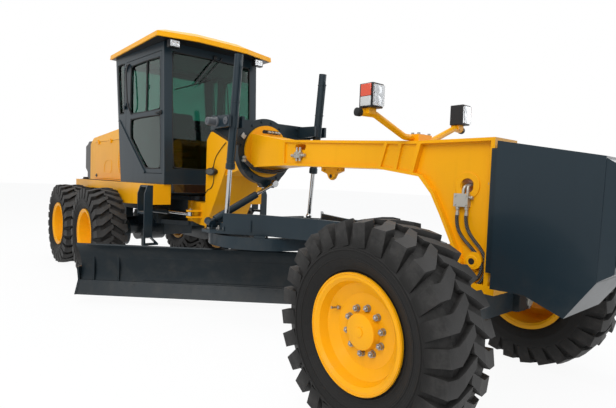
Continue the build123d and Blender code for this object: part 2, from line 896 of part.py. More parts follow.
# Front frame: hitch, upright, neck, drum, box beam and front leg as one weldment
column_half = 280.0
drum_z, drum_radius = 1860.0, 300.0
drum_rear, drum_depth = 3320.0, 140.0
drum_front = drum_rear + drum_depth
beam_half = 160.0
leg_rear, leg_front = 6110.0, 6350.0
leg_low, beam_high = 790.0, 1880.0
recess, leg_recess = 20.0, 50.0
draw_x, draw_z = 6000.0, 1020.0
draw_ball = 62.0
beam_side = (
    (drum_front - 5, 2050),
    (3970, 1962),
    (5700, beam_high),
    (leg_front, beam_high),
    (leg_front, 850),
    (leg_front + 50, 850),
    (leg_front + 50, leg_low),
    (leg_rear, leg_low),
    (leg_rear, 980),
    (5940, 1310),
    (5850, 1470),
    (5730, 1600),
    (5310, 1660),
    (3980, 1690),
    (drum_front - 5, 1668),
)
# Recessed panels of the beam's sides, between its flanges and ribs
panels = (
    ((4000, 1936), (5368, 1872), (5305, 1684), (4000, 1714)),
    ((5400, 1870), (5520, 1864), (5475, 1660), (5338, 1678)),
    ((5552, 1862), (5700, 1857), (5640, 1636), (5508, 1654)),
)
leg_panel = (
    (5738, 1857),
    (leg_front - 30, 1857),
    (leg_front - 30, 850),
    (leg_rear + 24, 850),
    (leg_rear + 24, 988),
    (5960, 1324),
    (5870, 1486),
    (5760, 1612),
    (5676, 1632),
)
with BuildPart() as gooseneck:
    add(
        prism_z(
            (
                (pivot_x, -110),
                (2400, -column_half),
                (2560, -column_half),
                (2560, column_half),
                (2400, column_half),
                (pivot_x, 110),
            ),
            hitch_low,
            hitch_high,
        )
    )
    add(bar((pivot_x, 0, hitch_low), (pivot_x, 0, hitch_high), 150))
    pin_reach = hitch_gap + hitch_lug
    add(bar((pivot_x, 0, hitch_low - pin_reach), (pivot_x, 0, hitch_high + pin_reach), pivot_pin_radius))
    add(
        prism_y(
            (
                (2520, 2010),
                (2620, 2110),
                (2980, 2100),
                (3060, 2000),
                (3000, 1630),
                (2740, 1195),
                (2530, 880),
                (2520, 880),
            ),
            -column_half,
            column_half,
        )
    )
    add(
        prism_y(
            ((2950, 2062), (drum_rear + 10, 2062), (drum_rear + 10, 1650), (2950, 1560)), -255, 255
        )
    )
    add(bar((drum_rear, 0, drum_z), (drum_front, 0, drum_z), drum_radius))
    with BuildPart(mode=Mode.PRIVATE) as beam:
        add(prism_y(beam_side, -400, 400))
        add(
            prism_z(
                (
                    (drum_front - 5, -225),
                    (3970, -beam_half),
                    (leg_front + 60, -beam_half),
                    (leg_front + 60, beam_half),
                    (3970, beam_half),
                    (drum_front - 5, 225),
                ),
                700,
                2200,
            ),
            mode=Mode.INTERSECT,
        )
        for side in (LEFT, RIGHT):
            for points in panels:
                add(
                    prism_y(points, side * (beam_half - recess), side * (beam_half + 5)),
                    mode=Mode.SUBTRACT,
                )
            add(
                prism_y(leg_panel, side * (beam_half - leg_recess), side * (beam_half + 5)),
                mode=Mode.SUBTRACT,
            )
    add(beam.part)
    add(bar((6230, -beam_half + 8, 1010), (6230, beam_half - 8, 1010), 62))
    with BuildSketch(Plane.XZ.offset(300)):
        with Locations((6130, 1540)):
            SlotCenterToCenter(90, 90, rotation=90)
        with Locations((4240, 1878)):
            SlotCenterToCenter(110, 62)
    extrude(amount=-600, mode=Mode.SUBTRACT)
    add(bar((draw_x - 10, 0, draw_z), (leg_rear + 40, 0, draw_z), 112))
    with Locations((draw_x, 0, draw_z)):
        Sphere(draw_ball + fit, mode=Mode.SUBTRACT)
    for side in (LEFT, RIGHT):
        for low in (ram_z - ram_jaw - ram_lug, ram_z + ram_jaw):
            add(
                prism_z(
                    (
                        (2270, side * 200),
                        (2460, side * 200),
                        (2400, side * (ram_eye_y + 20)),
                        (2300, side * (ram_eye_y + 20)),
                    ),
                    low,
                    low + ram_lug,
                )
            )
            add(
                bar(
                    (ram_eye_x, side * ram_eye_y, low),
                    (ram_eye_x, side * ram_eye_y, low + ram_lug),
                    56,
                )
            )
keep(gooseneck, "gooseneck")


# Saddle: the dark plate around the drum with the lift rams' trunnion cheeks
saddle_rear, saddle_thick = 3345.0, 90.0
saddle_front = saddle_rear + saddle_thick
lift_x, lift_y, lift_z = 3667.0, 590.0, 2130.0
lift_eye_x, lift_eye_z = 3570.0, 1100.0
lift_tube_radius, lift_rod_radius = 45.0, 24.0
trunnion = 25.0
cheek = 28.0
cheek_in = lift_y - lift_tube_radius - 22 - cheek
cheek_out = lift_y + lift_tube_radius + 22
lobe_x, lobe_y, lobe_z = 3550.0, 60.0, 1490.0
with BuildPart() as saddle:
    add(
        prism_x(
            (
                (-cheek_out - cheek, 2205),
                (cheek_out + cheek, 2205),
                (cheek_out + cheek, 2050),
                (340, 1890),
                (-340, 1890),
                (-cheek_out - cheek, 2050),
            ),
            saddle_rear,
            saddle_front,
        )
    )
    add(bar((saddle_rear, 0, drum_z), (saddle_front, 0, drum_z), drum_radius + 82))
    add(
        prism_x(
            (
                (lobe_y - 180, 1560),
                (lobe_y - 75, lobe_z - 55),
                (lobe_y + 75, lobe_z - 55),
                (lobe_y + 180, 1560),
            ),
            saddle_rear,
            saddle_front,
        )
    )
    add(bar((saddle_rear, 0, drum_z), (saddle_front, 0, drum_z), drum_radius + fit), mode=Mode.SUBTRACT)
    for side in (LEFT, RIGHT):
        for near, far in ((cheek_in, cheek_in + cheek), (cheek_out, cheek_out + cheek)):
            add(
                prism_y(
                    (
                        (saddle_rear + 10, 2200),
                        (lift_x + 60, 2190),
                        (lift_x + 60, 2070),
                        (saddle_front, 2060),
                        (saddle_rear + 10, 2080),
                    ),
                    side * near,
                    side * far,
                )
            )
        add(
            bar((lift_x, side * (cheek_in - 5), lift_z), (lift_x, side * 800, lift_z), trunnion + fit),
            mode=Mode.SUBTRACT,
        )
    add(bar((saddle_front - 5, lobe_y, lobe_z), (lobe_x - 60, lobe_y, lobe_z), 46))
keep(saddle, "saddle")

# Lift rams: the tube swings on trunnions, the rod runs down to the drawbar's corner
lift_top, lift_low = 692.0, 502.0
lift_rod_top = 200.0
lift_ball = 38.0
lift_hover = 10.0
for side in (LEFT, RIGHT):
    head = (lift_x, side * lift_y, lift_z)
    ball = (lift_eye_x, side * lift_y, lift_eye_z)
    lift_length = (Vector(*ball) - Vector(*head)).length
    with BuildPart() as lift_tube:
        add(bar(along(head, ball, -lift_top), along(head, ball, lift_low), lift_tube_radius))
        add(bar(along(head, ball, -60), along(head, ball, 60), lift_tube_radius + 14))
        add(
            bar(
                along(head, ball, -lift_top + 30),
                along(head, ball, lift_low - 60),
                lift_tube_radius - 11,
            ),
            mode=Mode.SUBTRACT,
        )
        add(
            bar(along(head, ball, 0), along(head, ball, lift_low + 5), lift_rod_radius + rod_gap),
            mode=Mode.SUBTRACT,
        )
        for near, far in ((cheek_in, lift_y - 50), (lift_y + 50, cheek_out + cheek)):
            add(bar((lift_x, side * near, lift_z), (lift_x, side * far, lift_z), trunnion))
    keep(lift_tube, side_name("lift_tube", side))
    with BuildPart() as lift_rod:
        add(bar(along(head, ball, -lift_rod_top), along(head, ball, lift_length - 10), lift_rod_radius))
        with Locations(ball):
            Sphere(lift_ball)
    keep(lift_rod, side_name("lift_rod", side))


# Drawbar: a flat A-frame with standing walls, its ball in the front leg's socket
plate_low, plate_high = 950.0, 982.0
circle_x = 3570.0
circle_low, circle_high = 805.0, 930.0
circle_flange_low, circle_flange_high = 890.0, 926.0
draw_edge = ((3330, 690), (3420, 800), (3590, 800), (4020, 430), (4610, 200), (5560, 95))
wall = 26.0
wall_high = 1165.0
with BuildPart() as drawbar:
    add(
        prism_z(
            tuple((x, -y) for x, y in draw_edge) + tuple((x, y) for x, y in reversed(draw_edge)),
            plate_low,
            plate_high,
        )
    )
    for side in (LEFT, RIGHT):
        add(
            prism_z(
                (
                    (3700, side * 708),
                    (4020, side * 430),
                    (4610, side * 200),
                    (5560, side * 95),
                    (5560, side * (95 - wall)),
                    (4600, side * (200 - wall)),
                    (4005, side * (430 - wall)),
                    (3685, side * (708 - wall)),
                ),
                plate_high - 2,
                wall_high,
            )
        )
        for x_rib, rib_high in ((3640, 1025), (3860, 1100)):
            add(
                prism_z(
                    (
                        (x_rib - 200, side * 330),
                        (x_rib - 200 + wall, side * 330),
                        (x_rib + 60 + wall, side * (708 - (x_rib - 3640) * 0.87)),
                        (x_rib + 60, side * (708 - (x_rib - 3640) * 0.87)),
                    ),
                    plate_high - 2,
                    rib_high,
                )
            )
        add(
            bar(
                (lift_eye_x, side * lift_y, plate_high - 2),
                (lift_eye_x, side * lift_y, lift_eye_z - lift_ball - lift_hover),
                66,
            )
        )
    rear_lip = ((-690, 1080), (-330, 1080), (-270, 1020), (270, 1020), (330, 1080), (690, 1080))
    add(prism_x(rear_lip + ((690, plate_high - 2), (-690, plate_high - 2)), 3330, 3356))
    shift_foot = Vector(3450, -720, 1050)
    shift_axis = Vector(1, 0, -0.245).normalized()
    for reach, stand in ((-58, -56), (32, 50)):
        add(bar(shift_foot + shift_axis * reach, shift_foot + shift_axis * (reach + 26), 40))
        foot_point = shift_foot + shift_axis * stand
        add(bar(foot_point + Vector(0, 0, -90), foot_point + Vector(0, 0, -10), 10))
    add(bar(shift_foot - shift_axis * 40, shift_foot + shift_axis * 40, 20))
    add(
        prism_y(
            (
                (5400, plate_low),
                (5400, wall_high - 20),
                (5700, 1110),
                (5860, 1075),
                (5860, 965),
                (5700, plate_low),
            ),
            -88,
            88,
        )
    )
    add(bar((5840, 0, draw_z), (draw_x, 0, draw_z), 34))
    with Locations((draw_x, 0, draw_z)):
        Sphere(draw_ball)
    for turn in (45, 110, 250, 315):
        with BuildPart(mode=Mode.PRIVATE) as shoe:
            add(block(500, 556, -60, 60, 862, plate_low + 2))
            add(block(500, 622, -60, 60, 862, circle_flange_low - 0.5))
            add(block(642, 690, -60, 60, circle_high + 0.5, plate_low + 2))
        add(Pos(circle_x, 0, 0) * Rot(0, 0, turn) * shoe.part)
keep(drawbar, "drawbar")


# Shift ram: from the drawbar's right rear corner up to the saddle's lobe
lobe = Vector(lobe_x, lobe_y, lobe_z)
shift_length = (lobe - shift_foot).length
shift_tube_end = 630.0
with BuildPart() as shift_tube:
    add(bar(shift_foot - shift_axis * 26, shift_foot + shift_axis * 26, 38))
    add(bar(along(shift_foot, lobe, 15), along(shift_foot, lobe, 80), 24))
    add(bar(along(shift_foot, lobe, 62), along(shift_foot, lobe, shift_tube_end), 40))
    add(
        bar(along(shift_foot, lobe, 72), along(shift_foot, lobe, shift_tube_end - 24), 31),
        mode=Mode.SUBTRACT,
    )
    add(
        bar(along(shift_foot, lobe, 200), along(shift_foot, lobe, shift_tube_end + 5), 20 + rod_gap),
        mode=Mode.SUBTRACT,
    )
    add(bar(shift_foot - shift_axis * 30, shift_foot + shift_axis * 30, 20 + fit), mode=Mode.SUBTRACT)
keep(shift_tube, "shift_tube")
with BuildPart() as shift_rod:
    add(bar(along(shift_foot, lobe, 274), along(shift_foot, lobe, shift_length - 15), 20))
    add(bar(lobe - shift_axis * 20, lobe + shift_axis * 20, 40))
keep(shift_rod, "shift_rod")


# Circle: the slewing ring under the drawbar with two arms to the blade's hinge
circle_radius, circle_wall = 700.0, 62.0
blade_yaw = 47.15
arm_u, arm_half = 560.0, 30.0
hinge_v, hinge_w = 185.0, 330.0
hinge_pin = 25.0
# Blade group frame: X runs along the blade to its left end, Y to its back
blade_frame = Pos(circle_x, 0, 0) * Rot(0, 0, blade_yaw)


def placed(builder):
    """The builder's part moved from the blade group's frame to the machine's."""
    with BuildPart(mode=Mode.PRIVATE) as moved:
        add(blade_frame * builder.part)
    return moved


with BuildPart() as ring:
    with BuildSketch(Plane.XY.offset(circle_low)):
        Circle(circle_radius)
        Circle(circle_radius - circle_wall, mode=Mode.SUBTRACT)
    extrude(amount=circle_high - circle_low)
    with BuildSketch(Plane.XY.offset(circle_flange_low)):
        Circle(circle_radius - circle_wall + 5)
        Circle(circle_radius - circle_wall - 70, mode=Mode.SUBTRACT)
    extrude(amount=circle_flange_high - circle_flange_low)
    for end in (-1, 1):
        near, far = sorted((end * (arm_u - arm_half), end * (arm_u + arm_half)))
        add(
            prism_x(
                (
                    (290, circle_low + 30),
                    (425, circle_low + 30),
                    (400, 700),
                    (hinge_v + 62, hinge_w),
                    (hinge_v - 50, hinge_w + 40),
                    (hinge_v + 10, 560),
                ),
                near,
                far,
            )
        )
        add(bar((near, hinge_v, hinge_w), (far, hinge_v, hinge_w), 62))
        add(
            bar((near - 5, hinge_v, hinge_w), (far + 5, hinge_v, hinge_w), hinge_pin + fit),
            mode=Mode.SUBTRACT,
        )
keep(placed(ring), "circle")


# Blade carrier: the tilting cross tube and shoes that hold the blade's rails
shoe_u, shoe_half = 400.0, 60.0
slide_gap = 0.5
with BuildPart() as carrier:
    add(bar((-arm_u + arm_half + 8, hinge_v, hinge_w), (arm_u - arm_half - 8, hinge_v, hinge_w), 52))
    add(bar((-arm_u - 34, hinge_v, hinge_w), (arm_u + 34, hinge_v, hinge_w), hinge_pin))
    for end in (-1, 1):
        near, far = end * shoe_u - shoe_half, end * shoe_u + shoe_half
        for rail_back, rail_bottom, rail_top in ((100, 545, 590), (110, 235, 285)):
            low, high = rail_bottom - slide_gap, rail_top + slide_gap
            back = rail_back + slide_gap
            add(block(near, far, back, rail_back + 36, low - 16, high + 16))
            add(block(near, far, rail_back - 26, rail_back + 36, high, high + 16))
            add(block(near, far, rail_back - 26, rail_back + 36, low - 16, low))
        add(
            prism_x(
                (
                    (132, 612),
                    (165, 612),
                    (hinge_v + 50, hinge_w + 20),
                    (hinge_v + 40, hinge_w - 40),
                    (165, 213),
                    (142, 213),
                    (142, 307),
                    (132, 420),
                ),
                end * shoe_u - 24,
                end * shoe_u + 24,
            )
        )
keep(placed(carrier), "blade_carrier")


# Moldboard: the curved blade with its slide rails, cutting edge and end bits
blade_right, blade_left = -2260.0, 2010.0
board = 22.0
curve_low, curve_mid, curve_high = (-30, 130), (55, 380), (-90, 700)
with BuildPart() as moldboard:
    with BuildSketch(Plane.YZ.offset(blade_right)):
        with BuildLine():
            face = ThreePointArc(curve_low, curve_mid, curve_high)
            back = ThreePointArc(
                (curve_low[0] + board, curve_low[1] - 12),
                (curve_mid[0] + board, curve_mid[1]),
                (curve_high[0] + board - 6, curve_high[1] + 14),
            )
            Line(face @ 0, back @ 0)
            Line(face @ 1, back @ 1)
        make_face()
    extrude(amount=blade_left - blade_right)
    add(block(-1500, 1400, 15, 100, 545, 590))
    add(block(-1500, 1400, 40, 110, 235, 285))
    add(
        prism_x(((-62, 100), (-40, 100), (36, 262), (14, 262)), blade_right, blade_left)
    )
    for near, far in ((blade_right - 22, blade_right), (blade_left, blade_left + 22)):
        add(
            prism_x(
                ((-70, 100), (-32, 100), (78, 262), (80, 420), (-20, 420), (10, 262)), near, far
            )
        )
    for u_rib in (-2100, -1800, 1650, 1900):
        add(block(u_rib - 12, u_rib + 12, 20, 92, 250, 575))
keep(placed(moldboard), "moldboard")


# Ballast: the block bolted to the front leg
ballast_half = 300.0
pad_half = 200.0
ballast_rear, ballast_front = 6440.0, 7130.0
with BuildPart() as front_ballast:
    add(block(leg_front + fit, ballast_rear + 5, -pad_half, pad_half, 950, 1800))
    add(
        prism_y(
            (
                (ballast_rear, 1840),
                (7070, 1730),
                (7060, 1020),
                (6900, 780),
                (6660, 870),
                (ballast_rear, 865),
            ),
            -ballast_half,
            ballast_half,
        )
    )
    with BuildSketch(Plane.YZ.offset(7055)):
        with Locations((0, 1375)):
            Rectangle(2 * ballast_half, 710)
    with BuildSketch(Plane.YZ.offset(ballast_front)):
        with Locations((0, 1375)):
            Rectangle(2 * ballast_half - 110, 600)
    loft(ruled=True)
    with BuildSketch(Plane.YZ.offset(ballast_front - 5)):
        with Locations((0, 1375)):
            RectangleRounded(2 * ballast_half - 170, 540, 30)
    extrude(amount=65)
keep(front_ballast, "front_ballast")


# Headlamps on two curved pipes clamped to the beam's top
def beam_top(x):
    """Height of the beam's top edge, which falls towards the front leg."""
    return beam_high + (1962 - beam_high) * (5700 - x) / (5700 - 3970)


lamp_x, lamp_y, lamp_z = 5600.0, 600.0, 2175.0
lamp_deep, lamp_wide, lamp_tall = 120.0, 116.0, 170.0
pipe_radius = 26.0
pipe_z = beam_high + pipe_radius + 8
with BuildPart() as headlamps:
    for side in (LEFT, RIGHT):
        with BuildLine(mode=Mode.PRIVATE) as run:
            FilletPolyline(
                (lamp_x, side * 40, pipe_z),
                (lamp_x, side * 190, pipe_z),
                (lamp_x - 15, side * 540, 2052),
                (lamp_x - 40, side * 700, 2052),
                radius=110,
            )
        with BuildPart(mode=Mode.PRIVATE) as pipe:
            with BuildSketch(Plane(origin=run.line @ 0, z_dir=run.line % 0)):
                Circle(pipe_radius)
            sweep(path=run.line)
        add(pipe.part)
        y_low, y_high = side * lamp_y - lamp_wide / 2, side * lamp_y + lamp_wide / 2
        lamp_low = lamp_z - lamp_tall / 2
        add(block(lamp_x - 62, lamp_x + 18, y_low + 18, y_high - 18, 2045, lamp_low + 2))
        x_low, x_high = lamp_x - lamp_deep / 2, lamp_x + lamp_deep / 2
        add(block(x_low, x_high, y_low, y_high, lamp_low, lamp_low + lamp_tall))
    clamp_top = beam_high + 2 * pipe_radius + 12
    add(
        prism_y(
            (
                (5575, beam_top(5575) + fit),
                (5665, beam_top(5665) + fit),
                (5665, clamp_top),
                (5575, clamp_top),
            ),
            -90,
            90,
        )
    )
keep(headlamps, "headlamps")


# Front axle beam with open cheeks for the leaning yokes
axle_low, axle_high = 550.0, 750.0
yoke_y, yoke_z = 660.0, 620.0
king_y = 800.0
yoke_pin, king_pin = 30.0, 35.0
with BuildPart() as front_axle:
    add(block(6040, 6240, -580, 580, axle_low, axle_high))
    saddle_pad = ((-180, axle_high), (180, axle_high), (120, leg_low - fit), (-120, leg_low - fit))
    add(prism_x(saddle_pad, 6115, 6245))
    for side in (LEFT, RIGHT):
        for near, far in ((6040, 6100), (6230, 6290)):
            add(block(near, far, side * 480, side * yoke_y, yoke_z - 66, yoke_z + 66))
            add(bar((near, side * yoke_y, yoke_z), (far, side * yoke_y, yoke_z), 66))
        add(block(6200, 6290, side * 480, side * 570, yoke_z - 60, yoke_z + 60))
        add(bar((6045, side * yoke_y, yoke_z), (6285, side * yoke_y, yoke_z), yoke_pin))
keep(front_axle, "front_axle")

# Leaning yoke, built for the right: boss on the axle's pin, kingpin outboard
lean_bar_x, lean_bar_z = 6040.0, 840.0
with BuildPart() as lean_yoke:
    add(bar((6110, -yoke_y, yoke_z), (6220, -yoke_y, yoke_z), 60))
    add(block(6110, 6180, -718, -yoke_y - 20, 495, 835))
    add(block(6110, 6180, -yoke_y - 22, -yoke_y + 30, yoke_z + 40, 835))
    add(block(6080, 6180, -yoke_y - 40, -yoke_y + 30, 760, 835))
    for low in (495, 775):
        add(block(6095, 6185, -king_y, -700, low, low + 60))
        add(bar((6140, -king_y, low), (6140, -king_y, low + 60), 55))
    add(bar((6140, -king_y, 495), (6140, -king_y, 835), king_pin))
    add(bar((6080, -yoke_y, lean_bar_z), (6140, -yoke_y, lean_bar_z), 34))
    add(bar((lean_bar_x - 20, -yoke_y, lean_bar_z), (6100, -yoke_y, lean_bar_z), 14))
    add(
        bar((6100, -yoke_y, yoke_z), (6230, -yoke_y, yoke_z), yoke_pin + fit),
        mode=Mode.SUBTRACT,
    )
keep_pair(lean_yoke, "lean_yoke")

# Knuckle, built for the right: kingpin sleeve, wheel spindle and steering arm
tie_x, tie_y, tie_z = 5860.0, king_y, 675.0
tie_ball = 20.0
arm_low, arm_high = 710.0, 740.0
with BuildPart() as knuckle:
    add(bar((6140, -king_y, 562), (6140, -king_y, 768), 75))
    add(
        bar(
            (6140, -king_y, tyre_radius),
            (6140, -track / 2 - front_disc + 20 + stub_gap, tyre_radius),
            stub_radius,
        )
    )
    add(block(tie_x, 6140, -king_y - 26, -king_y + 26, arm_low, arm_high))
    add(bar((tie_x, -tie_y, arm_low), (tie_x, -tie_y, arm_high), 30))
    add(bar((6140, -king_y, 500), (6140, -king_y, 830), king_pin + fit), mode=Mode.SUBTRACT)
    add(bar((tie_x, -tie_y, arm_low - 5), (tie_x, -tie_y, arm_high + 5), 10 + fit), mode=Mode.SUBTRACT)
keep_pair(knuckle, "knuckle")

# Tie rod: a ball stud in the left steering arm, the rod hung on its ball
with BuildPart() as tie_stud:
    with Locations((tie_x, tie_y, tie_z)):
        Sphere(tie_ball)
    add(bar((tie_x, tie_y, tie_z), (tie_x, tie_y, arm_high + 5), 10))
    add(bar((tie_x, tie_y, arm_high + fit), (tie_x, tie_y, arm_high + 13), 17))
keep(tie_stud, "tie_stud")

with BuildPart() as tie_rod:
    add(bar((tie_x, -tie_y + 36, tie_z), (tie_x, tie_y - 30, tie_z), 17))
    add(bar((tie_x, tie_y, tie_z - 13), (tie_x, tie_y, tie_z + 13), 34))
    add(bar((tie_x, -tie_y, tie_z - 13), (tie_x, -tie_y, tie_z + 13), 42))
    with Locations((tie_x, tie_y, tie_z)):
        Sphere(tie_ball + fit, mode=Mode.SUBTRACT)
    add(bar((tie_x, -tie_y, tie_z - 20), (tie_x, -tie_y, tie_z + 20), 28), mode=Mode.SUBTRACT)
keep(tie_rod, "tie_rod")

# Lean bar joins the tops of both yokes and keeps the front wheels parallel
with BuildPart() as lean_bar:
    add(bar((lean_bar_x, -yoke_y + 20, lean_bar_z), (lean_bar_x, yoke_y - 20, lean_bar_z), 19))
    for eye_y in (yoke_y, -yoke_y):
        add(bar((lean_bar_x - 16, eye_y, lean_bar_z), (lean_bar_x + 16, eye_y, lean_bar_z), 34))
        add(
            bar((lean_bar_x - 30, eye_y, lean_bar_z), (lean_bar_x + 30, eye_y, lean_bar_z), 14 + fit),
            mode=Mode.SUBTRACT,
        )
keep(lean_bar, "lean_bar")
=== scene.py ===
from math import cos, exp, pi, radians, sin, sqrt

import bmesh
import bpy
from mathutils import Matrix, Vector


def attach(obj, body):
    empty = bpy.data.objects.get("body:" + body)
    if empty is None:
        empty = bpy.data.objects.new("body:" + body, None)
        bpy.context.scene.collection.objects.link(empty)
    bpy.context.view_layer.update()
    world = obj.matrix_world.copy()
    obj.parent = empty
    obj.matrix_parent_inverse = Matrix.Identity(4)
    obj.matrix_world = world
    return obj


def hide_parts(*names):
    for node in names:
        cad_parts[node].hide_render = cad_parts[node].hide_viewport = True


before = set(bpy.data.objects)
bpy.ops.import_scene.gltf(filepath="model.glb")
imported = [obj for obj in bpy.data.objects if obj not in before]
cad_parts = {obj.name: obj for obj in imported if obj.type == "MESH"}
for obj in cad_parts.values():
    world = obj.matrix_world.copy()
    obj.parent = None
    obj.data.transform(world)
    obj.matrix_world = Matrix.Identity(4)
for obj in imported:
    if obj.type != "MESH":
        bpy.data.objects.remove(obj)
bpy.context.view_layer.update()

# Camera: stands off the machine's front right corner, 1.5 m above the ground.
# Its lens, place and slight roll follow the photograph's perspective.
yaw, pitch, roll = radians(40.76), radians(-2.77), radians(2.11)
ahead = Vector((-cos(yaw) * cos(pitch), sin(yaw) * cos(pitch), sin(pitch)))
level_right = ahead.cross(Vector((0, 0, 1))).normalized()
level_up = level_right.cross(ahead)
right = cos(roll) * level_right + sin(roll) * level_up
up = cos(roll) * level_up - sin(roll) * level_right
camera_data = bpy.data.cameras.new("camera")
camera_data.sensor_width = 36
camera_data.lens = 27.26
camera_data.clip_end = 300
camera = bpy.data.objects.new("camera", camera_data)
bpy.context.scene.collection.objects.link(camera)
camera.matrix_world = Matrix.Translation((7.954, -3.210, 1.529)) @ Matrix(
    ((right.x, up.x, -ahead.x), (right.y, up.y, -ahead.y), (right.z, up.z, -ahead.z))
).to_4x4()
bpy.context.scene.camera = camera
bpy.context.scene.view_settings.view_transform = "Standard"


# Rear chassis, tandem cases and axle: welded steel in satin slate-blue paint, dusty
# near the ground. The same paint finishes every dark structural piece of the machine.
def feed(tree, socket, value):
    """Gives a socket a number, a vector, a colour or the output of another node."""
    if isinstance(value, bpy.types.NodeSocket):
        tree.links.new(value, socket)
    elif socket.type == "RGBA":
        socket.default_value = (*value, 1)
    else:
        socket.default_value = value


def shade(tree, kind, **values):
    """A shader node with its named settings and inputs."""
    made = tree.nodes.new(kind)
    for key, value in values.items():
        if key in made.inputs:
            feed(tree, made.inputs[key], value)
        else:
            setattr(made, key, value)
    return made


def calculate(tree, operation, *values):
    """The result of a math node on values that are numbers or sockets."""
    made = shade(tree, "ShaderNodeMath", operation=operation)
    for socket, value in zip(made.inputs, values):
        feed(tree, socket, value)
    return made.outputs[0]


def multiply(tree, first, second):
    """The product of two values, each a number or a socket."""
    return calculate(tree, "MULTIPLY", first, second)


def ramp(tree, source, low, high):
    """A soft step from 0 to 1 between two values of source."""
    limits = {"From Min": low, "From Max": high}
    made = shade(tree, "ShaderNodeMapRange", interpolation_type="SMOOTHSTEP", Value=source, **limits)
    return made.outputs["Result"]


def spread(tree, source, low, high):
    """The 0 to 1 of source, spread over low to high."""
    limits = {"To Min": low, "To Max": high}
    return shade(tree, "ShaderNodeMapRange", Value=source, **limits).outputs["Result"]


def blend_colour(tree, factor, first, second):
    """first where factor is 0 and second where it is 1; each is a colour or a socket."""
    made = shade(tree, "ShaderNodeMix", data_type="RGBA")
    for index, value in ((0, factor), (6, first), (7, second)):
        feed(tree, made.inputs[index], value)
    return made.outputs[2]


def noise(tree, where, scale, detail=4, rough=0.55):
    """Noise with about scale patches to a metre."""
    made = shade(tree, "ShaderNodeTexNoise", Vector=where, Scale=scale, Detail=detail, Roughness=rough)
    return made.outputs["Fac"]


def toned(colour, share):
    """A colour made lighter or darker by a share."""
    return tuple(share * channel for channel in colour)


def new_material(name, finish):
    """A material that keeps its finish, with its tree, its shader and the machine's places."""
    material = bpy.data.materials.new(name)
    material.use_nodes = True
    material["finish"] = finish
    tree = material.node_tree
    where = shade(tree, "ShaderNodeTexCoord").outputs["Object"]
    return material, tree, tree.nodes["Principled BSDF"], where


def painted(name, colour, rough, finish, coat=0.0, dust=0.2, chips=0.35, gloss=0.3, metal=0.0):
    """Sprayed paint: drift in tone, rain streaks, settled dust, small chips, orange peel."""
    material, tree, shader, where = new_material(name, finish)
    height = shade(tree, "ShaderNodeSeparateXYZ", Vector=where).outputs["Z"]
    normal = shade(tree, "ShaderNodeNewGeometry").outputs["Normal"]
    facing = shade(tree, "ShaderNodeSeparateXYZ", Vector=normal).outputs["Z"]
    settled = calculate(tree, "MAXIMUM", ramp(tree, height, 1.2, 0.1), ramp(tree, facing, 0.6, 1.0))
    cloud = ramp(tree, noise(tree, where, 5.0, 8, 0.68), 0.40, 0.75)
    dirt = multiply(tree, multiply(tree, cloud, settled), dust)
    base = blend_colour(tree, noise(tree, where, 1.3, 3), toned(colour, 0.90), toned(colour, 1.05))
    drawn = shade(tree, "ShaderNodeMapping", Vector=where, Scale=(9.0, 9.0, 0.7)).outputs["Vector"]
    streaks = ramp(tree, noise(tree, drawn, 1.0, 5, 0.6), 0.50, 0.85)
    rained = blend_colour(tree, multiply(tree, streaks, 0.35), base, toned(colour, 0.74))
    specks = ramp(tree, noise(tree, where, 46.0, 3, 0.7), 0.71, 0.75)
    worn = blend_colour(tree, multiply(tree, specks, chips), rained, (0.055, 0.048, 0.042))
    cloudy = calculate(tree, "ADD", dirt, multiply(tree, streaks, 0.25))
    peel = shade(tree, "ShaderNodeBump", Strength=0.10, Distance=0.002, Height=noise(tree, where, 120.0, 2))
    for key, value in (
        ("Base Color", blend_colour(tree, dirt, worn, (0.17, 0.145, 0.115))),
        ("Roughness", spread(tree, cloudy, rough, min(0.9, rough + 0.35))),
        ("Normal", peel.outputs["Normal"]),
        ("Metallic", metal),
        ("Specular IOR Level", gloss),
        ("Coat Weight", coat),
        ("Coat Roughness", 0.12),
    ):
        feed(tree, shader.inputs[key], value)
    return material


def rounded(piece, width):
    """Gives a piece softly rounded corners of a width."""
    soften = piece.modifiers.new("rounded corners", "BEVEL")
    soften.width = width
    soften.segments = 2
    soften.limit_method = "ANGLE"
    soften.angle_limit = radians(40)
    return soften


def dress(material, names, edge=0.0, angle=35):
    """Gives CAD nodes a finish, smooth curves and, with edge, softly rounded corners."""
    for name in names:
        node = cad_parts[name]
        node.data.materials.clear()
        node.data.materials.append(material)
        node.data.shade_smooth()
        node.data.set_sharp_from_angle(angle=radians(angle))
        if edge:
            rounded(node, edge).harden_normals = True


def axes_at(origin, along, across=(0, 0, 1)):
    """A matrix at origin with its Z along a direction and its X near across."""
    z_axis = Vector(along).normalized()
    x_axis = Vector(across)
    if abs(x_axis.normalized().dot(z_axis)) > 0.95:
        x_axis = Vector((1, 0, 0)) if abs(z_axis.x) < 0.9 else Vector((0, 1, 0))
    y_axis = z_axis.cross(x_axis).normalized()
    x_axis = y_axis.cross(z_axis)
    return Matrix.Translation(origin) @ Matrix((x_axis, y_axis, z_axis)).transposed().to_4x4()


def places_round(count, radius, start=0.0):
    """Evenly spaced places on a circle, as pairs of distances from its centre."""
    turns = [start + 2 * pi * step / count for step in range(count)]
    return [(radius * cos(turn), radius * sin(turn)) for turn in turns]


def skirt(mesh, low, high):
    """Joins two loops of vertices by a strip of faces."""
    for step in range(len(low)):
        after = (step + 1) % len(low)
        mesh.faces.new((low[step], low[after], high[after], high[step]))


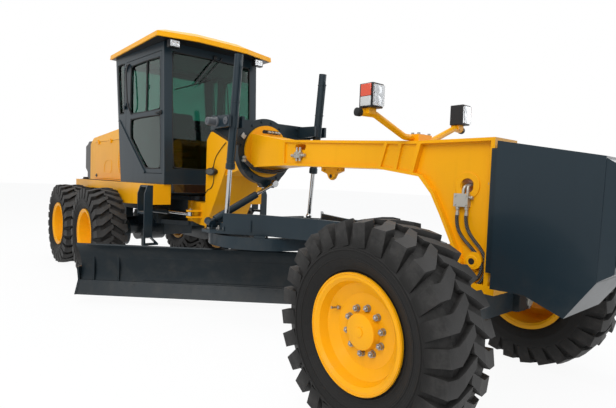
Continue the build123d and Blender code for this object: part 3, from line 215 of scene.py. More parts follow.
def turned(mesh, profile, at, steps=24):
    """Adds a lathe-turned form, (radius, height) pairs about the Z of at."""
    rings = []
    for radius, height in profile:
        rings.append([mesh.verts.new(at @ Vector((x, y, height))) for x, y in places_round(steps, radius)])
    for low, high in zip(rings, rings[1:]):
        skirt(mesh, low, high)
    mesh.faces.new(rings[0][::-1])
    mesh.faces.new(rings[-1])


def plate(mesh, outline, thick, at):
    """Adds a flat plate: an outline in the XY plane of at, thick along its Z."""
    low, high = ([mesh.verts.new(at @ Vector((x, y, z))) for x, y in outline] for z in (0, thick))
    skirt(mesh, low, high)
    mesh.faces.new(low[::-1])
    mesh.faces.new(high)


def bolt(mesh, origin, along, width, height):
    """Adds a hexagon bolt head of a width over its flats, on its washer."""
    at = axes_at(origin, along)
    turned(mesh, ((width * 0.62, 0), (width * 0.62, height * 0.2)), at, 16)
    head = places_round(6, width / sqrt(3))
    plate(mesh, head, height * 0.85, at @ Matrix.Translation((0, 0, height * 0.15)))


def placed(name, data, material, body):
    """A named piece with its finish, riding on a body."""
    data.materials.append(material)
    piece = bpy.data.objects.new(name, data)
    bpy.context.scene.collection.objects.link(piece)
    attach(piece, body)
    return piece


def made(name, mesh, material, body, edge=0.0, angle=35):
    """Turns a built mesh into a named piece, with edge given softly rounded corners."""
    bmesh.ops.recalc_face_normals(mesh, faces=mesh.faces)
    data = bpy.data.meshes.new(name)
    mesh.to_mesh(data)
    mesh.free()
    data.shade_smooth()
    data.set_sharp_from_angle(angle=radians(angle))
    piece = placed(name, data, material, body)
    if edge:
        rounded(piece, edge)
    return piece


slate = painted(
    "slate paint", (0.011, 0.022, 0.030), 0.36, "slate_paint", coat=0.12, dust=0.30, gloss=0.22
)
dress(slate, ["rear_chassis", "tandem_cases", "rear_axle"], 0.004)
steel = painted("bare steel", (0.36, 0.35, 0.33), 0.40, "chrome_rod", chips=0.6, gloss=0.5, metal=0.9)
axle_height = 0.665
tandem_reach = 0.769
mesh = bmesh.new()
for side in (-1, 1):
    for end in (-tandem_reach, tandem_reach):
        for x, z in places_round(8, 0.155):
            bolt(mesh, (end + x, side * 0.842, axle_height + z), (0, side, 0), 0.024, 0.014)
made("tandem_case_bolts", mesh, steel, "rear_frame")

# Engine: a painted iron block on rubber mounts under the hood, with a ribbed valve cover
# and a fan at its rear. Only the louvres and the open doors show it.
engine_grey = painted("engine paint", (0.045, 0.048, 0.050), 0.5, "engine_paint", dust=0.5)
dress(engine_grey, ["engine"], 0.010)
mesh = bmesh.new()
for x in (-1.05, -0.75, -0.45, -0.15):
    cover = ((x - 0.11, -0.16), (x + 0.11, -0.16), (x + 0.11, 0.16), (x - 0.11, 0.16))
    plate(mesh, cover, 0.045, Matrix.Translation((0, 0, 2.020)))
    for y in (-0.10, 0.10):
        bolt(mesh, (x, y, 2.065), (0, 0, 1), 0.022, 0.012)
filter_can = ((0.050, 0), (0.050, 0.10), (0.042, 0.13), (0.0, 0.135))
plug = ((0.030, -0.01), (0.030, 0.05), (0.022, 0.06))
for side in (-1, 1):
    turned(mesh, filter_can, axes_at((-0.30, side * 0.370, 1.62), (0, 0, -1)), 20)
    for x in (-1.0, -0.75, -0.5):
        turned(mesh, plug, axes_at((x, side * 0.335, 1.85), (0, side, 0)), 16)
made("engine_covers", mesh, engine_grey, "rear_frame", 0.004)

# Hood: folded yellow sheet steel with a side door on each side, hung from three hinges.
# The doors carry a D-shaped pressing, two flush latches and a frame round the louvres.
def pipe(name, points, radius, material, body, closed=False):
    """A bent pipe or hose of one radius along a smooth line."""
    data = bpy.data.curves.new(name, "CURVE")
    data.dimensions = "3D"
    data.bevel_depth = radius
    data.bevel_resolution = 4
    data.use_fill_caps = True
    spline = data.splines.new("NURBS")
    spline.points.add(len(points) - 1)
    for point, place in zip(spline.points, points):
        point.co = (*place, 1)
    spline.order_u = 3
    spline.use_endpoint_u = not closed
    spline.resolution_u = 8
    spline.use_cyclic_u = closed
    return placed(name, data, material, body)


yellow = painted(
    "chrome yellow paint", (0.90, 0.40, 0.003), 0.36, "yellow_paint", coat=0.05, dust=0.10, gloss=0.17
)
dress(yellow, ["hood", "hood_door_left", "hood_door_right"], 0.004)
black = painted("black paint", (0.010, 0.010, 0.011), 0.40, "black_paint", coat=0.1, dust=0.25)
pressing = (
    (-0.470, 1.550), (-0.470, 1.780), (-0.620, 1.780), (-0.760, 1.770),
    (-0.850, 1.700), (-0.860, 1.640), (-0.860, 1.550), (-0.660, 1.550),
)
louvre_edge = ((-0.125, 1.535), (-0.125, 1.975), (0.225, 1.975), (0.225, 1.535))
lever = ((-0.042, -0.009), (0.042, -0.009), (0.042, 0.009), (-0.042, 0.009))
blade = ((-0.150, -0.016), (0.150, -0.016), (0.150, 0.003), (-0.150, 0.003))
sides = ((-1, "right"), (1, "left"))
for side, word in sides:
    door = f"hood_door_{word}"
    mesh = bmesh.new()
    for x in (-1.30, 0.30):
        at = axes_at((x, side * 0.500, 1.50), (0, side, 0), (1, 0, 0))
        turned(mesh, ((0.034, 0), (0.034, 0.004), (0.028, 0.008)), at, 20)
        plate(mesh, lever, 0.018, at)
    made(f"hood_latches_{word}", mesh, black, door, 0.002)
    run = [(x, side * 0.4995, z) for x, z in pressing]
    pipe(f"hood_pressing_{word}", run, 0.006, yellow, door, closed=True)
    run = [(x, side * 0.5000, z) for x, z in louvre_edge]
    pipe(f"louvre_frame_{word}", run, 0.005, yellow, door, closed=True)
    mesh = bmesh.new()
    for step in range(9):
        centre = (0.050, side * 0.492, 1.570 + 0.046 * step)
        plate(mesh, blade, 0.003, Matrix.Translation(centre) @ Matrix.Rotation(side * radians(38), 4, "X"))
    made(f"louvre_blades_{word}", mesh, yellow, door)

# Cooler guard: black painted steel plate with a slotted grille and fine mesh behind it.
# It is bolted to the hood's back edge on four corner bolts.
def cuboid(mesh, low, high):
    """Adds a block between two corners, the lower and the upper in Z."""
    x0, x1 = sorted((low[0], high[0]))
    y0, y1 = sorted((low[1], high[1]))
    outline = ((x0, y0), (x1, y0), (x1, y1), (x0, y1))
    plate(mesh, outline, high[2] - low[2], Matrix.Translation((0, 0, low[2])))


dress(black, ["rear_cooler"], 0.006)
mesh = bmesh.new()
for side in (-1, 1):
    for z in (1.70, 2.02):
        bolt(mesh, (-2.0303, side * 0.440, z), (-1, 0, 0), 0.026, 0.014)
    for x in (-1.76, -1.86):
        bolt(mesh, (x, side * 0.495, 1.42), (0, side, 0), 0.024, 0.012)
made("cooler_guard_bolts", mesh, steel, "rear_frame")
mesh = bmesh.new()
for step in range(32):
    y = -0.375 + step * 0.750 / 31
    cuboid(mesh, (-1.9755, y - 0.0012, 1.700), (-1.9725, y + 0.0012, 2.000))
for step in range(14):
    z = 1.705 + step * 0.290 / 13
    cuboid(mesh, (-1.9745, -0.375, z - 0.0012), (-1.9715, 0.375, z + 0.0012))
made("cooler_mesh", mesh, steel, "rear_frame")

# Exhaust: a silencer can of heat-dulled black sheet steel with a straight tail pipe, on a
# flange on the hood's sloping top. Two band clamps go round the can and one round the pipe.
dress(black, ["exhaust"], 0.004)
mesh = bmesh.new()
stack_x, stack_y = 0.250, 0.210
for z, radius in ((2.470, 0.0755), (2.620, 0.0755), (2.760, 0.0485)):
    outer = radius + 0.004
    clamp = ((radius, 0), (outer, 0.002), (outer, 0.020), (radius, 0.022))
    turned(mesh, clamp, Matrix.Translation((stack_x, stack_y, z)), 40)
    bolt(mesh, (stack_x + radius + 0.012, stack_y, z + 0.011), (0, 1, 0), 0.012, 0.008)
made("exhaust_clamps", mesh, steel, "rear_frame")

# Side platforms: yellow box tanks bolted along the rails. Their walking tops carry
# anti-slip strips, and each has a filler cap.
dress(yellow, ["side_platforms"], 0.008)
mesh = bmesh.new()
caps = bmesh.new()
filler_cap = ((0.055, -0.002), (0.055, 0.012), (0.046, 0.014), (0.046, 0.034), (0.038, 0.040))
for side in (-1, 1):
    for step in range(24):
        x = -1.28 + step * 0.085
        cuboid(mesh, (x, side * 0.560, 1.4215), (x + 0.030, side * 0.790, 1.4250))
    turned(caps, filler_cap, Matrix.Translation((-1.335, side * 0.680, 1.422)), 32)
grit = painted("anti-slip coating", (0.022, 0.022, 0.023), 0.85, "black_paint", dust=0.8, gloss=0.15)
made("platform_grip_strips", mesh, grit, "rear_frame")
made("tank_filler_caps", caps, black, "rear_frame", 0.002)

# Ladders: slate steel plates bolted to the platforms' sides, with a serrated tread and a
# looped low step that can bend without harm.
dress(slate, ["ladders"], 0.003)
mesh = bmesh.new()
for side in (-1, 1):
    for step in range(11):
        x = 1.965 + step * 0.0175
        cuboid(mesh, (x, side * 0.842, 1.0615), (x + 0.006, side * 0.938, 1.0680))
    for x in (1.965, 2.135):
        for z in (1.315, 1.365):
            bolt(mesh, (x, side * 0.8355, z), (0, side, 0), 0.020, 0.010)
made("tread_grips", mesh, steel, "rear_frame")

# Cab: a welded tube frame in slate paint with thick front posts and a folded sill. The
# doors are of the same tube, on two hinges at their rear edge.
dress(slate, ["cab_frame", "cab_door_left", "cab_door_right"], 0.008)


def wall(x):
    """Half the cab's width at a distance X from the tandem."""
    return 0.815 - (x - 0.590) * 0.115 / 1.650


def screen(y, z, out=0.0):
    """A point of the windscreen wall's outer face."""
    return Vector((2.200 - (z - 1.592) * 0.080 / 1.670 + out, y, z))


def facing_ahead(x, z=0.0):
    """A frame at X and Z whose own X and Y point to the left and up, and its Z ahead."""
    turn = Matrix(((0, 0, 1, 0), (1, 0, 0, 0), (0, 1, 0, 0), (0, 0, 0, 1)))
    return Matrix.Translation((x, 0, z)) @ turn


foot, head = Vector((1.655, 0, 1.568)), Vector((0.785, 0, 2.332))
square = Vector((head.z - foot.z, 0, foot.x - head.x)).normalized() * 0.016
sill = (foot - square, foot + square, head + square, head - square)
for side, word in sides:
    mesh = bmesh.new()
    outer, inner = (
        [mesh.verts.new((c.x, side * (wall(c.x) + out), c.z)) for c in sill] for out in (0.016, -0.004)
    )
    mesh.faces.new(outer)
    mesh.faces.new(inner[::-1])
    skirt(mesh, inner, outer)
    made(f"door_sill_bar_{word}", mesh, slate, "rear_frame", 0.004)
gloss_black = painted(
    "gloss black panel", (0.006, 0.006, 0.007), 0.10, "black_paint", coat=0.8, dust=0.05, gloss=0.5
)
mesh = bmesh.new()
panel = (
    (-0.560, 0.0), (0.560, 0.0), (0.590, 0.020), (0.590, 0.112), (-0.590, 0.112), (-0.590, 0.020),
)
plate(mesh, panel, 0.004, facing_ahead(2.2005, 1.318))
made("cab_front_panel", mesh, gloss_black, "rear_frame", 0.003)

# Cab panes: green tinted safety glass, bonded or held in black rubber gaskets. Each door
# has a sliding pane over a fixed one; the quarter panes and the back pane are fixed.
def tinted(name, colour, finish):
    """Tinted safety glass with faint smears."""
    material, tree, shader, where = new_material(name, finish)
    smear = ramp(tree, noise(tree, where, 3.0, 6, 0.6), 0.45, 0.8)
    for key, value in (
        ("Transmission Weight", 1.0),
        ("IOR", 1.45),
        ("Base Color", blend_colour(tree, smear, colour, toned(colour, 0.8))),
        ("Roughness", spread(tree, smear, 0.01, 0.08)),
    ):
        feed(tree, shader.inputs[key], value)
    return material


rubber_trim = painted(
    "black rubber trim", (0.009, 0.009, 0.009), 0.6, "black_paint", dust=0.1, chips=0.0
)


def gasket(name, corners, body):
    """A rubber gasket round a pane, a closed tube with slightly rounded corners."""
    points = []
    for before, here, after in zip(corners[-1:] + corners[:-1], corners, corners[1:] + corners[:1]):
        here = Vector(here)
        for other in (before, after):
            away = Vector(other) - here
            points.append(here + away.normalized() * min(0.04, away.length / 3))
    return pipe(name, points, 0.009, rubber_trim, body, closed=True)


upper_pane = ((1.150, 3.080), (2.022, 3.080), (2.056, 2.395), (1.150, 2.395))
lower_pane = ((1.165, 2.330), (2.058, 2.330), (2.092, 1.625), (1.655, 1.625), (1.165, 2.060))
quarter_pane = ((0.700, 3.150), (0.945, 3.150), (0.945, 2.420), (0.795, 2.420))
for side, word in sides:
    door = f"cab_door_{word}"
    for title, pane, body in (
        ("upper", upper_pane, door),
        ("lower", lower_pane, door),
        ("quarter", quarter_pane, "rear_frame"),
    ):
        corners = [(x, side * (wall(x) - 0.006), z) for x, z in pane]
        gasket(f"{title}_gasket_{word}", corners, body)
    mesh = bmesh.new()
    depth = wall(1.635) - 0.017
    cuboid(mesh, (1.618, side * depth - 0.012, 2.398), (1.652, side * depth + 0.012, 3.078))
    cuboid(mesh, (1.645, side * depth - 0.016, 2.700), (1.672, side * depth + 0.006, 2.760))
    made(f"sliding_pane_bar_{word}", mesh, rubber_trim, door, 0.003)
    mesh = bmesh.new()
    at = axes_at((2.078, side * (wall(2.078) - 0.001), 2.352), (0, side, 0), (1, 0, 0))
    turned(mesh, ((0.030, 0), (0.030, 0.010), (0.022, 0.018)), at, 20)
    lever = ((-0.120, -0.012), (0.010, -0.012), (0.010, 0.012), (-0.120, 0.012))
    plate(mesh, lever, 0.014, at @ Matrix.Translation((0, 0, 0.016)))
    made(f"door_handle_{word}", mesh, rubber_trim, door, 0.004)
    grab = [
        (1.105, side * (wall(1.105) - 0.004), 3.110),
        (1.105, side * (wall(1.105) + 0.050), 3.090),
        (1.140, side * (wall(1.112) + 0.055), 2.800),
        (1.205, side * (wall(1.120) + 0.050), 2.440),
        (1.210, side * (wall(1.120) - 0.030), 2.370),
    ]
    pipe(f"door_grab_rail_{word}", grab, 0.011, black, door)
glass = tinted("green tinted glass", (0.10, 0.30, 0.24), "window_glass")
dress(glass, ["cab_glass", "door_glass_left", "door_glass_right"])

# Windscreen: bonded glass with a smoked sun band at the top. A pantograph wiper of bent
# steel rod hangs from the header on one hub and one idler.
corners = [
    screen(y, z, -0.006) for y, z in ((-0.600, 3.150), (0.600, 3.150), (0.590, 1.630), (-0.590, 1.630))
]
gasket("windscreen_gasket", corners, "rear_frame")
mesh = bmesh.new()
pivot, idler = screen(0.02, 3.185, 0.010), screen(0.12, 3.185, 0.010)
turned(mesh, ((0.026, -0.02), (0.026, 0.012), (0.018, 0.022)), axes_at(pivot, (1, 0, 0.05)), 20)
turned(mesh, ((0.014, -0.02), (0.014, 0.010), (0.010, 0.014)), axes_at(idler, (1, 0, 0.05)), 20)
made("wiper_hub", mesh, black, "rear_frame", 0.002)
elbow = screen(-0.30, 2.76, 0.026)
for title, run, radius, material in (
    ("arm", (pivot, screen(-0.14, 2.98, 0.036), elbow), 0.0085, black),
    ("blade", (screen(-0.56, 2.66, 0.010), elbow, screen(-0.06, 2.86, 0.010)), 0.0075, rubber_trim),
    ("link", (
        screen(0.12, 3.185, 0.018), screen(-0.06, 2.95, 0.032), screen(-0.25, 2.74, 0.028)
    ), 0.005, black),
):
    pipe(f"wiper_{title}", run, radius, material, "rear_frame")
mesh = bmesh.new()
band = ((-0.585, 3.14), (0.585, 3.14), (0.585, 2.93), (-0.585, 2.93))
mesh.faces.new([mesh.verts.new(screen(y, z, -0.030)) for y, z in band])
sun_band = painted("smoked sun band", (0.035, 0.045, 0.045), 0.3, "black_paint", dust=0.05, chips=0.0)
made("sun_band", mesh, sun_band, "rear_frame")

# Seat: a sprung steel box under a cushion, a backrest and two armrests of moulded foam,
# all covered in dark woven cloth with welded seams.
cloth = painted("woven seat cover", (0.020, 0.020, 0.023), 0.85, "seat_cover", chips=0.0, gloss=0.15)
tree = cloth.node_tree
where = shade(tree, "ShaderNodeTexCoord").outputs["Object"]
weave = shade(tree, "ShaderNodeTexWave", Vector=where, Scale=180.0, Distortion=0.4).outputs["Fac"]
threads = shade(tree, "ShaderNodeBump", Strength=0.35, Distance=0.001, Height=weave)
feed(tree, tree.nodes["Principled BSDF"].inputs["Normal"], threads.outputs["Normal"])


def cushion(name, centre, half, lean, channels):
    """A crowned pad: full in the middle, drawn in at its sides, with sewn channels."""
    mesh = bmesh.new()
    bmesh.ops.create_cube(mesh, size=2.0)
    bmesh.ops.subdivide_edges(mesh, edges=mesh.edges[:], cuts=17, use_grid_fill=True)
    at = Matrix.Translation(centre) @ Matrix.Rotation(radians(lean), 4, "Y")
    for vert in mesh.verts:
        u, v, w = vert.co
        full = (abs(u) ** 7 + abs(v) ** 7 + abs(w) ** 7) ** (-1 / 7)
        x = half[0] * u * full * (1 - 0.05 * (1 - v * v) * abs(u) ** 3)
        y = half[1] * v * full * (1 - 0.05 * (1 - u * u) * abs(v) ** 3)
        z = half[2] * w * full * (0.72 + 0.28 * (1 - u**4) * (1 - v**4))
        for channel in channels:
            z -= 0.010 * (w > 0) * exp(-(((v - channel) / 0.06) ** 2))
        vert.co = at @ Vector((x, y, z))
    pad = made(name, mesh, cloth, "rear_frame", angle=60)
    return pad


floor_top = 1.4726
pads = (
    cushion("seat_cushion", (1.335, 0, floor_top + 0.388), (0.238, 0.248, 0.060), 0, (-0.5, 0.5)),
    cushion("seat_backrest", (1.128, 0, floor_top + 0.745), (0.300, 0.230, 0.052), 81.6, (-0.5, 0.5)),
    cushion("armrest_right", (1.305, -0.298, floor_top + 0.590), (0.172, 0.041, 0.029), 0, ()),
    cushion("armrest_left", (1.305, 0.298, floor_top + 0.590), (0.172, 0.041, 0.029), 0, ()),
)
mesh = bmesh.new()
for low, tall, reach, half in ((0.0, 0.035, 0.185, 0.210), (0.290, 0.034, 0.185, 0.205)):
    cuboid(mesh, (1.315 - reach, -half, floor_top + low), (1.315 + reach, half, floor_top + low + tall))
for fold in range(6):
    inset = 0.012 * (fold % 2)
    low = floor_top + 0.035 + 0.0425 * fold
    cuboid(mesh, (1.15 + inset, -0.185 + inset, low), (1.48 - inset, 0.185 - inset, low + 0.0425))
for side in (-1, 1):
    y = side * 0.279
    cuboid(mesh, (1.155, y - 0.018, floor_top + 0.330), (1.205, y + 0.018, floor_top + 0.565))
base = made("seat_suspension_box", mesh, black, "rear_frame", 0.006)
for piece in pads + (base,):
    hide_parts("seat")

# Steering console: a black painted steering post and wheel with a lever row on each side.
# The levers are steel rods with moulded knobs.
dress(black, ["console"], 0.004)
mesh = bmesh.new()
knob = ((0.006, -0.022), (0.012, -0.012), (0.0135, 0.0), (0.012, 0.010), (0.004, 0.016))
for side in (-1, 1):
    for index in range(4):
        spot = (1.868, side * (0.120 + 0.030 * index), floor_top + 0.705)
        turned(mesh, knob, axes_at(spot, (-0.24, 0, 0.97)), 16)
wheel_hub = ((0.045, 0.020), (0.045, 0.030), (0.036, 0.038), (0.012, 0.040))
post = (-sin(radians(35)), 0, cos(radians(35)))
turned(mesh, wheel_hub, axes_at((1.880, 0, floor_top + 0.700), post), 28)
made("lever_knobs", mesh, rubber_trim, "rear_frame")

# Roof and lamps: a yellow moulded cap over the cab, with dark pressed sheet underneath. Work
# lamps with clear lenses hang under its front corners, and red tail lamps sit at the back.
dress(yellow, ["roof"], 0.012)
mesh = bmesh.new()
strips = (
    ((0.52, -0.84), (0.632, -0.84), (0.632, 0.84), (0.52, 0.84)),
    (
        (2.122, -0.852), (2.25, -0.852), (2.375, -0.372),
        (2.375, 0.372), (2.25, 0.852), (2.122, 0.852),
    ),
    ((0.632, -0.84), (2.122, -0.852), (2.122, -0.714), (0.632, -0.814)),
    ((0.632, 0.84), (2.122, 0.852), (2.122, 0.714), (0.632, 0.814)),
)
for strip in strips:
    plate(mesh, strip, 0.004, Matrix.Translation((0, 0, 3.2575)))
made("roof_lining", mesh, black, "rear_frame")
dress(black, ["work_lamps"], 0.006)
clear = tinted("clear lens", (0.90, 0.92, 0.94), "lamp_housing")
reflector = painted(
    "lamp reflector", (0.70, 0.70, 0.70), 0.18, "chrome_rod", dust=0.05, chips=0.0, gloss=0.6, metal=0.8
)
red = tinted("red lens", (0.70, 0.02, 0.02), "lamp_housing")
lenses, bowls, tails = bmesh.new(), bmesh.new(), bmesh.new()
bowl = ((0.024, 0), (0.020, 0.001), (0.008, 0.004))
for side in (-1, 1):
    cuboid(bowls, (2.2895, side * 0.582, 3.167), (2.2925, side * 0.698, 3.240))
    cuboid(lenses, (2.2930, side * 0.582, 3.167), (2.3030, side * 0.698, 3.240))
    for y in (0.612, 0.668):
        turned(bowls, bowl, axes_at((2.2925, side * y, 3.203), (1, 0, 0)), 20)
    cuboid(tails, (-1.9850, side * 0.432, 1.110), (-1.9755, side * 0.508, 1.230))
made("work_lamp_reflectors", bowls, reflector, "rear_frame")
made("work_lamp_lenses", lenses, clear, "rear_frame", 0.003)
made("tail_lamp_lenses", tails, red, "rear_frame", 0.003)

# Wheels: wide rubber tyres, black on the sides and scuffed grey on the lugs, on yellow
# deep-dish steel rims. Ten stud nuts hold each rim.
def tyre_rubber(name, axle_x):
    """Moulded rubber: black side, greyer tread, fine rings on the side and road dust."""
    material = painted(name, (0.012, 0.011, 0.010), 0.62, "tyre", dust=0.0, chips=0.0, gloss=0.22)
    tree = material.node_tree
    where = shade(tree, "ShaderNodeTexCoord").outputs["Object"]
    level = shade(tree, "ShaderNodeVectorMath", operation="MULTIPLY")
    reach = shade(tree, "ShaderNodeVectorMath", operation="DISTANCE")
    feed(tree, level.inputs[0], where)
    feed(tree, level.inputs[1], (1, 0, 1))
    feed(tree, reach.inputs[0], level.outputs["Vector"])
    feed(tree, reach.inputs[1], (axle_x, 0, axle_height))
    radius = reach.outputs["Value"]
    outer = ramp(tree, radius, 0.50, 0.60)
    crown = ramp(tree, radius, 0.630, 0.662)
    grain = ramp(tree, noise(tree, where, 14.0, 8, 0.7), 0.30, 0.72)
    dusty = blend_colour(tree, grain, (0.014, 0.0135, 0.013), (0.038, 0.036, 0.034))
    scuffed = blend_colour(tree, crown, dusty, (0.043, 0.0415, 0.040))
    rings = calculate(tree, "SINE", multiply(tree, radius, 520.0))
    inner = calculate(tree, "SUBTRACT", 1.0, outer)
    fine = multiply(tree, multiply(tree, rings, inner), 0.25)
    relief = calculate(tree, "ADD", fine, noise(tree, where, 60.0, 4))
    moulded = shade(tree, "ShaderNodeBump", Strength=0.35, Distance=0.003, Height=relief)
    shader = tree.nodes["Principled BSDF"]
    feed(tree, shader.inputs["Base Color"], blend_colour(tree, outer, (0.008, 0.0075, 0.007), scuffed))
    feed(tree, shader.inputs["Normal"], moulded.outputs["Normal"])
    return material


def nut(mesh, origin, along, width, height, stud):
    """Adds a hexagon nut with its washer and the end of its stud."""
    at = axes_at(origin, along)
    turned(mesh, ((width * 0.62, 0), (width * 0.62, height * 0.16)), at, 16)
    flats = places_round(6, width / sqrt(3))
    plate(mesh, flats, height * 0.9, at @ Matrix.Translation((0, 0, height * 0.1)))
    turned(mesh, ((stud, height * 0.8), (stud, height * 1.35), (stud * 0.7, height * 1.5)), at, 12)


def ring(mesh, at, radius, thick, steps=64, edges=8):
    """Adds a round-sectioned ring about the Z of at."""
    section = places_round(edges, thick)
    loops = []
    for step in range(steps):
        turn = 2 * pi * step / steps
        loops.append([
            mesh.verts.new(at @ Vector(((radius + out) * cos(turn), (radius + out) * sin(turn), height)))
            for out, height in section
        ])
    for here, after in zip(loops, loops[1:] + loops[:1]):
        for edge in range(edges):
            above = (edge + 1) % edges
            mesh.faces.new((here[edge], after[edge], after[above], here[above]))


half_track = 1.078
front_axle_x = 6.140
side_rings = (
    (0.374, 0.011, 0.1730), (0.438, 0.0045, 0.2120), (0.452, 0.0045, 0.2120), (0.486, 0.006, 0.2185),
)
rim_rings = ((0.344, 0.0045, 0.196), (0.3085, 0.0040, 0.1785))
hub_cap = ((0.108, 0.040), (0.106, 0.050), (0.094, 0.056), (0.030, 0.058), (0.028, 0.064), (0.008, 0.066))
valve = ((0.012, -0.004), (0.012, 0.012), (0.006, 0.016), (0.006, 0.045), (0.008, 0.046), (0.008, 0.058))
for place, axle_x, disc in (
    ("front", front_axle_x, 0.085), ("middle", tandem_reach, -0.020), ("rear", -tandem_reach, -0.020),
):
    rubber = tyre_rubber(f"{place} tyre rubber", axle_x)
    for side, word in sides:
        body = f"wheel_{place}_{word}"
        dress(rubber, [f"tyre_{place}_{word}"], 0.006)
        dress(yellow, [f"rim_{place}_{word}"], 0.004)
        face = side * (half_track + disc)
        mesh = bmesh.new()
        for radius, thick, out in side_rings:
            at = axes_at((axle_x, side * (half_track + out), axle_height), (0, side, 0))
            ring(mesh, at, radius, thick)
        made(f"tyre_side_rings_{place}_{word}", mesh, rubber, body)
        mesh = bmesh.new()
        for x, z in places_round(10, 0.138, 0.2):
            nut(mesh, (axle_x + x, face, axle_height + z), (0, side, 0), 0.034, 0.026, 0.011)
        made(f"wheel_nuts_{place}_{word}", mesh, steel, body)
        mesh = bmesh.new()
        turned(mesh, hub_cap, axes_at((axle_x, face, axle_height), (0, side, 0)), 48)
        for radius, thick, out in rim_rings:
            at = axes_at((axle_x, side * (half_track + out), axle_height), (0, side, 0))
            ring(mesh, at, radius, thick)
        made(f"hub_cap_{place}_{word}", mesh, yellow, body)
        mesh = bmesh.new()
        stem = axes_at((axle_x - 0.215, face + side * 0.012, 0.755), (-0.2, side, 0.1))
        turned(mesh, valve, stem, 16)
        made(f"tyre_valve_{place}_{word}", mesh, steel, body)

# Articulation rams: forged steel tubes and chromed rods, one each side of the hitch pin.
# Pins with grease nipples hold both eyes.
chrome = painted("hard chrome", (0.50, 0.51, 0.52), 0.16, "chrome_rod", chips=0.1, gloss=0.5, metal=1.0)
for side, word in sides:
    dress(slate, [f"ram_tube_{word}"], 0.003)
    dress(chrome, [f"ram_rod_{word}"])
pin_cap = ((0.030, 0), (0.030, 0.008), (0.024, 0.012), (0.007, 0.012), (0.007, 0.022))
for title, x, y, body in (("pin", 1.250, 0.575, "rear_frame"), ("eye", 2.350, 0.400, "front_frame")):
    mesh = bmesh.new()
    for side in (-1, 1):
        turned(mesh, pin_cap, axes_at((x, side * y, 1.100), (0, 0, 1)))
    made(f"ram_{title}_caps", mesh, steel, body)

# Front frame: yellow welded box sections, from the hitch up its wide column and along the
# beam to the leg. A thick lug with three bored holes is welded under the beam.
dress(yellow, ["gooseneck"], 0.005)
# Black discs on both faces of the solid lug are painted shade standing for its three bored holes.
mesh, hole_shading = bmesh.new(), bmesh.new()
lug = (
    (4.440, 1.682), (4.440, 1.640), (4.525, 1.612), (4.552, 1.570), (4.587, 1.550),
    (4.622, 1.570), (4.649, 1.612), (4.734, 1.640), (4.734, 1.682),
)
plate(mesh, lug, 0.044, Matrix.Translation((0, 0.022, 0)) @ Matrix.Rotation(radians(90), 4, "X"))
for side in (-1, 1):
    for x, z, bore in ((4.587, 1.590, 0.020), (4.490, 1.652, 0.008), (4.684, 1.652, 0.008)):
        rim = bore + (0.004 if bore > 0.010 else 0.003)
        ring(mesh, axes_at((x, side * 0.023, z), (0, side, 0)), rim, 0.005, 28, 6)
        turned(hole_shading, ((bore, 0.0), (bore, 0.0015)), axes_at((x, side * 0.022, z), (0, side, 0)))
made("beam_lug", mesh, yellow, "front_frame", 0.003)
made("beam_lug_hole_shading", hole_shading, rubber_trim, "front_frame")

# Column work lamps: a black oval housing with a frosted lens on each side of the column,
# fed by a cable from the drum and on down to the hitch.
def held_cord(name, route, radius, material, body):
    """A cord or hose that leaves at its first point and runs along its route."""
    cord = pipe(name, route, radius, material, body)


housing, lens = bmesh.new(), bmesh.new()
lamp_depth = 0.056
for side in (-1, 1):
    at = axes_at((2.712, side * 0.280, 1.606), (0, side, 0), (1, 0, 0))
    oval = [(0.112 * x, 0.047 * y) for x, y in places_round(32, 1.0)]
    plate(housing, oval, lamp_depth, at)
    plate(lens, [(0.84 * x, 0.76 * y) for x, y in oval], 0.005, at @ Matrix.Translation((0, 0, lamp_depth)))
    cuboid(housing, (2.700, side * 0.289 - 0.008, 1.640), (2.724, side * 0.289 + 0.008, 1.668))
frosted = painted("frosted lens", (0.105, 0.100, 0.085), 0.25, "lamp_housing", chips=0.0, gloss=0.5)
made("column_lamp_housings", housing, black, "front_frame", 0.006)
made("column_lamp_lenses", lens, frosted, "front_frame", 0.002)
cable_sheath = painted("cable sheath", (0.011, 0.011, 0.012), 0.5, "tyre", dust=0.1, chips=0.0)
cable_rows = (
    ("high", 0.445, (
        (2.712, 1.648), (2.722, 1.700), (2.765, 1.790), (2.850, 1.860), (2.960, 1.935), (3.005, 1.960),
    )),
    ("low", 0.346, (
        (2.735, 1.570), (2.738, 1.505), (2.705, 1.425), (2.640, 1.385), (2.565, 1.372), (2.535, 1.330),
    )),
)
for side, word in sides:
    for title, length, route in cable_rows:
        run = [(x, side * 0.287, z) for x, z in route]
        name = f"column_cable_{title}_{word}"
        held_cord(name, run, 0.005, cable_sheath, "front_frame")

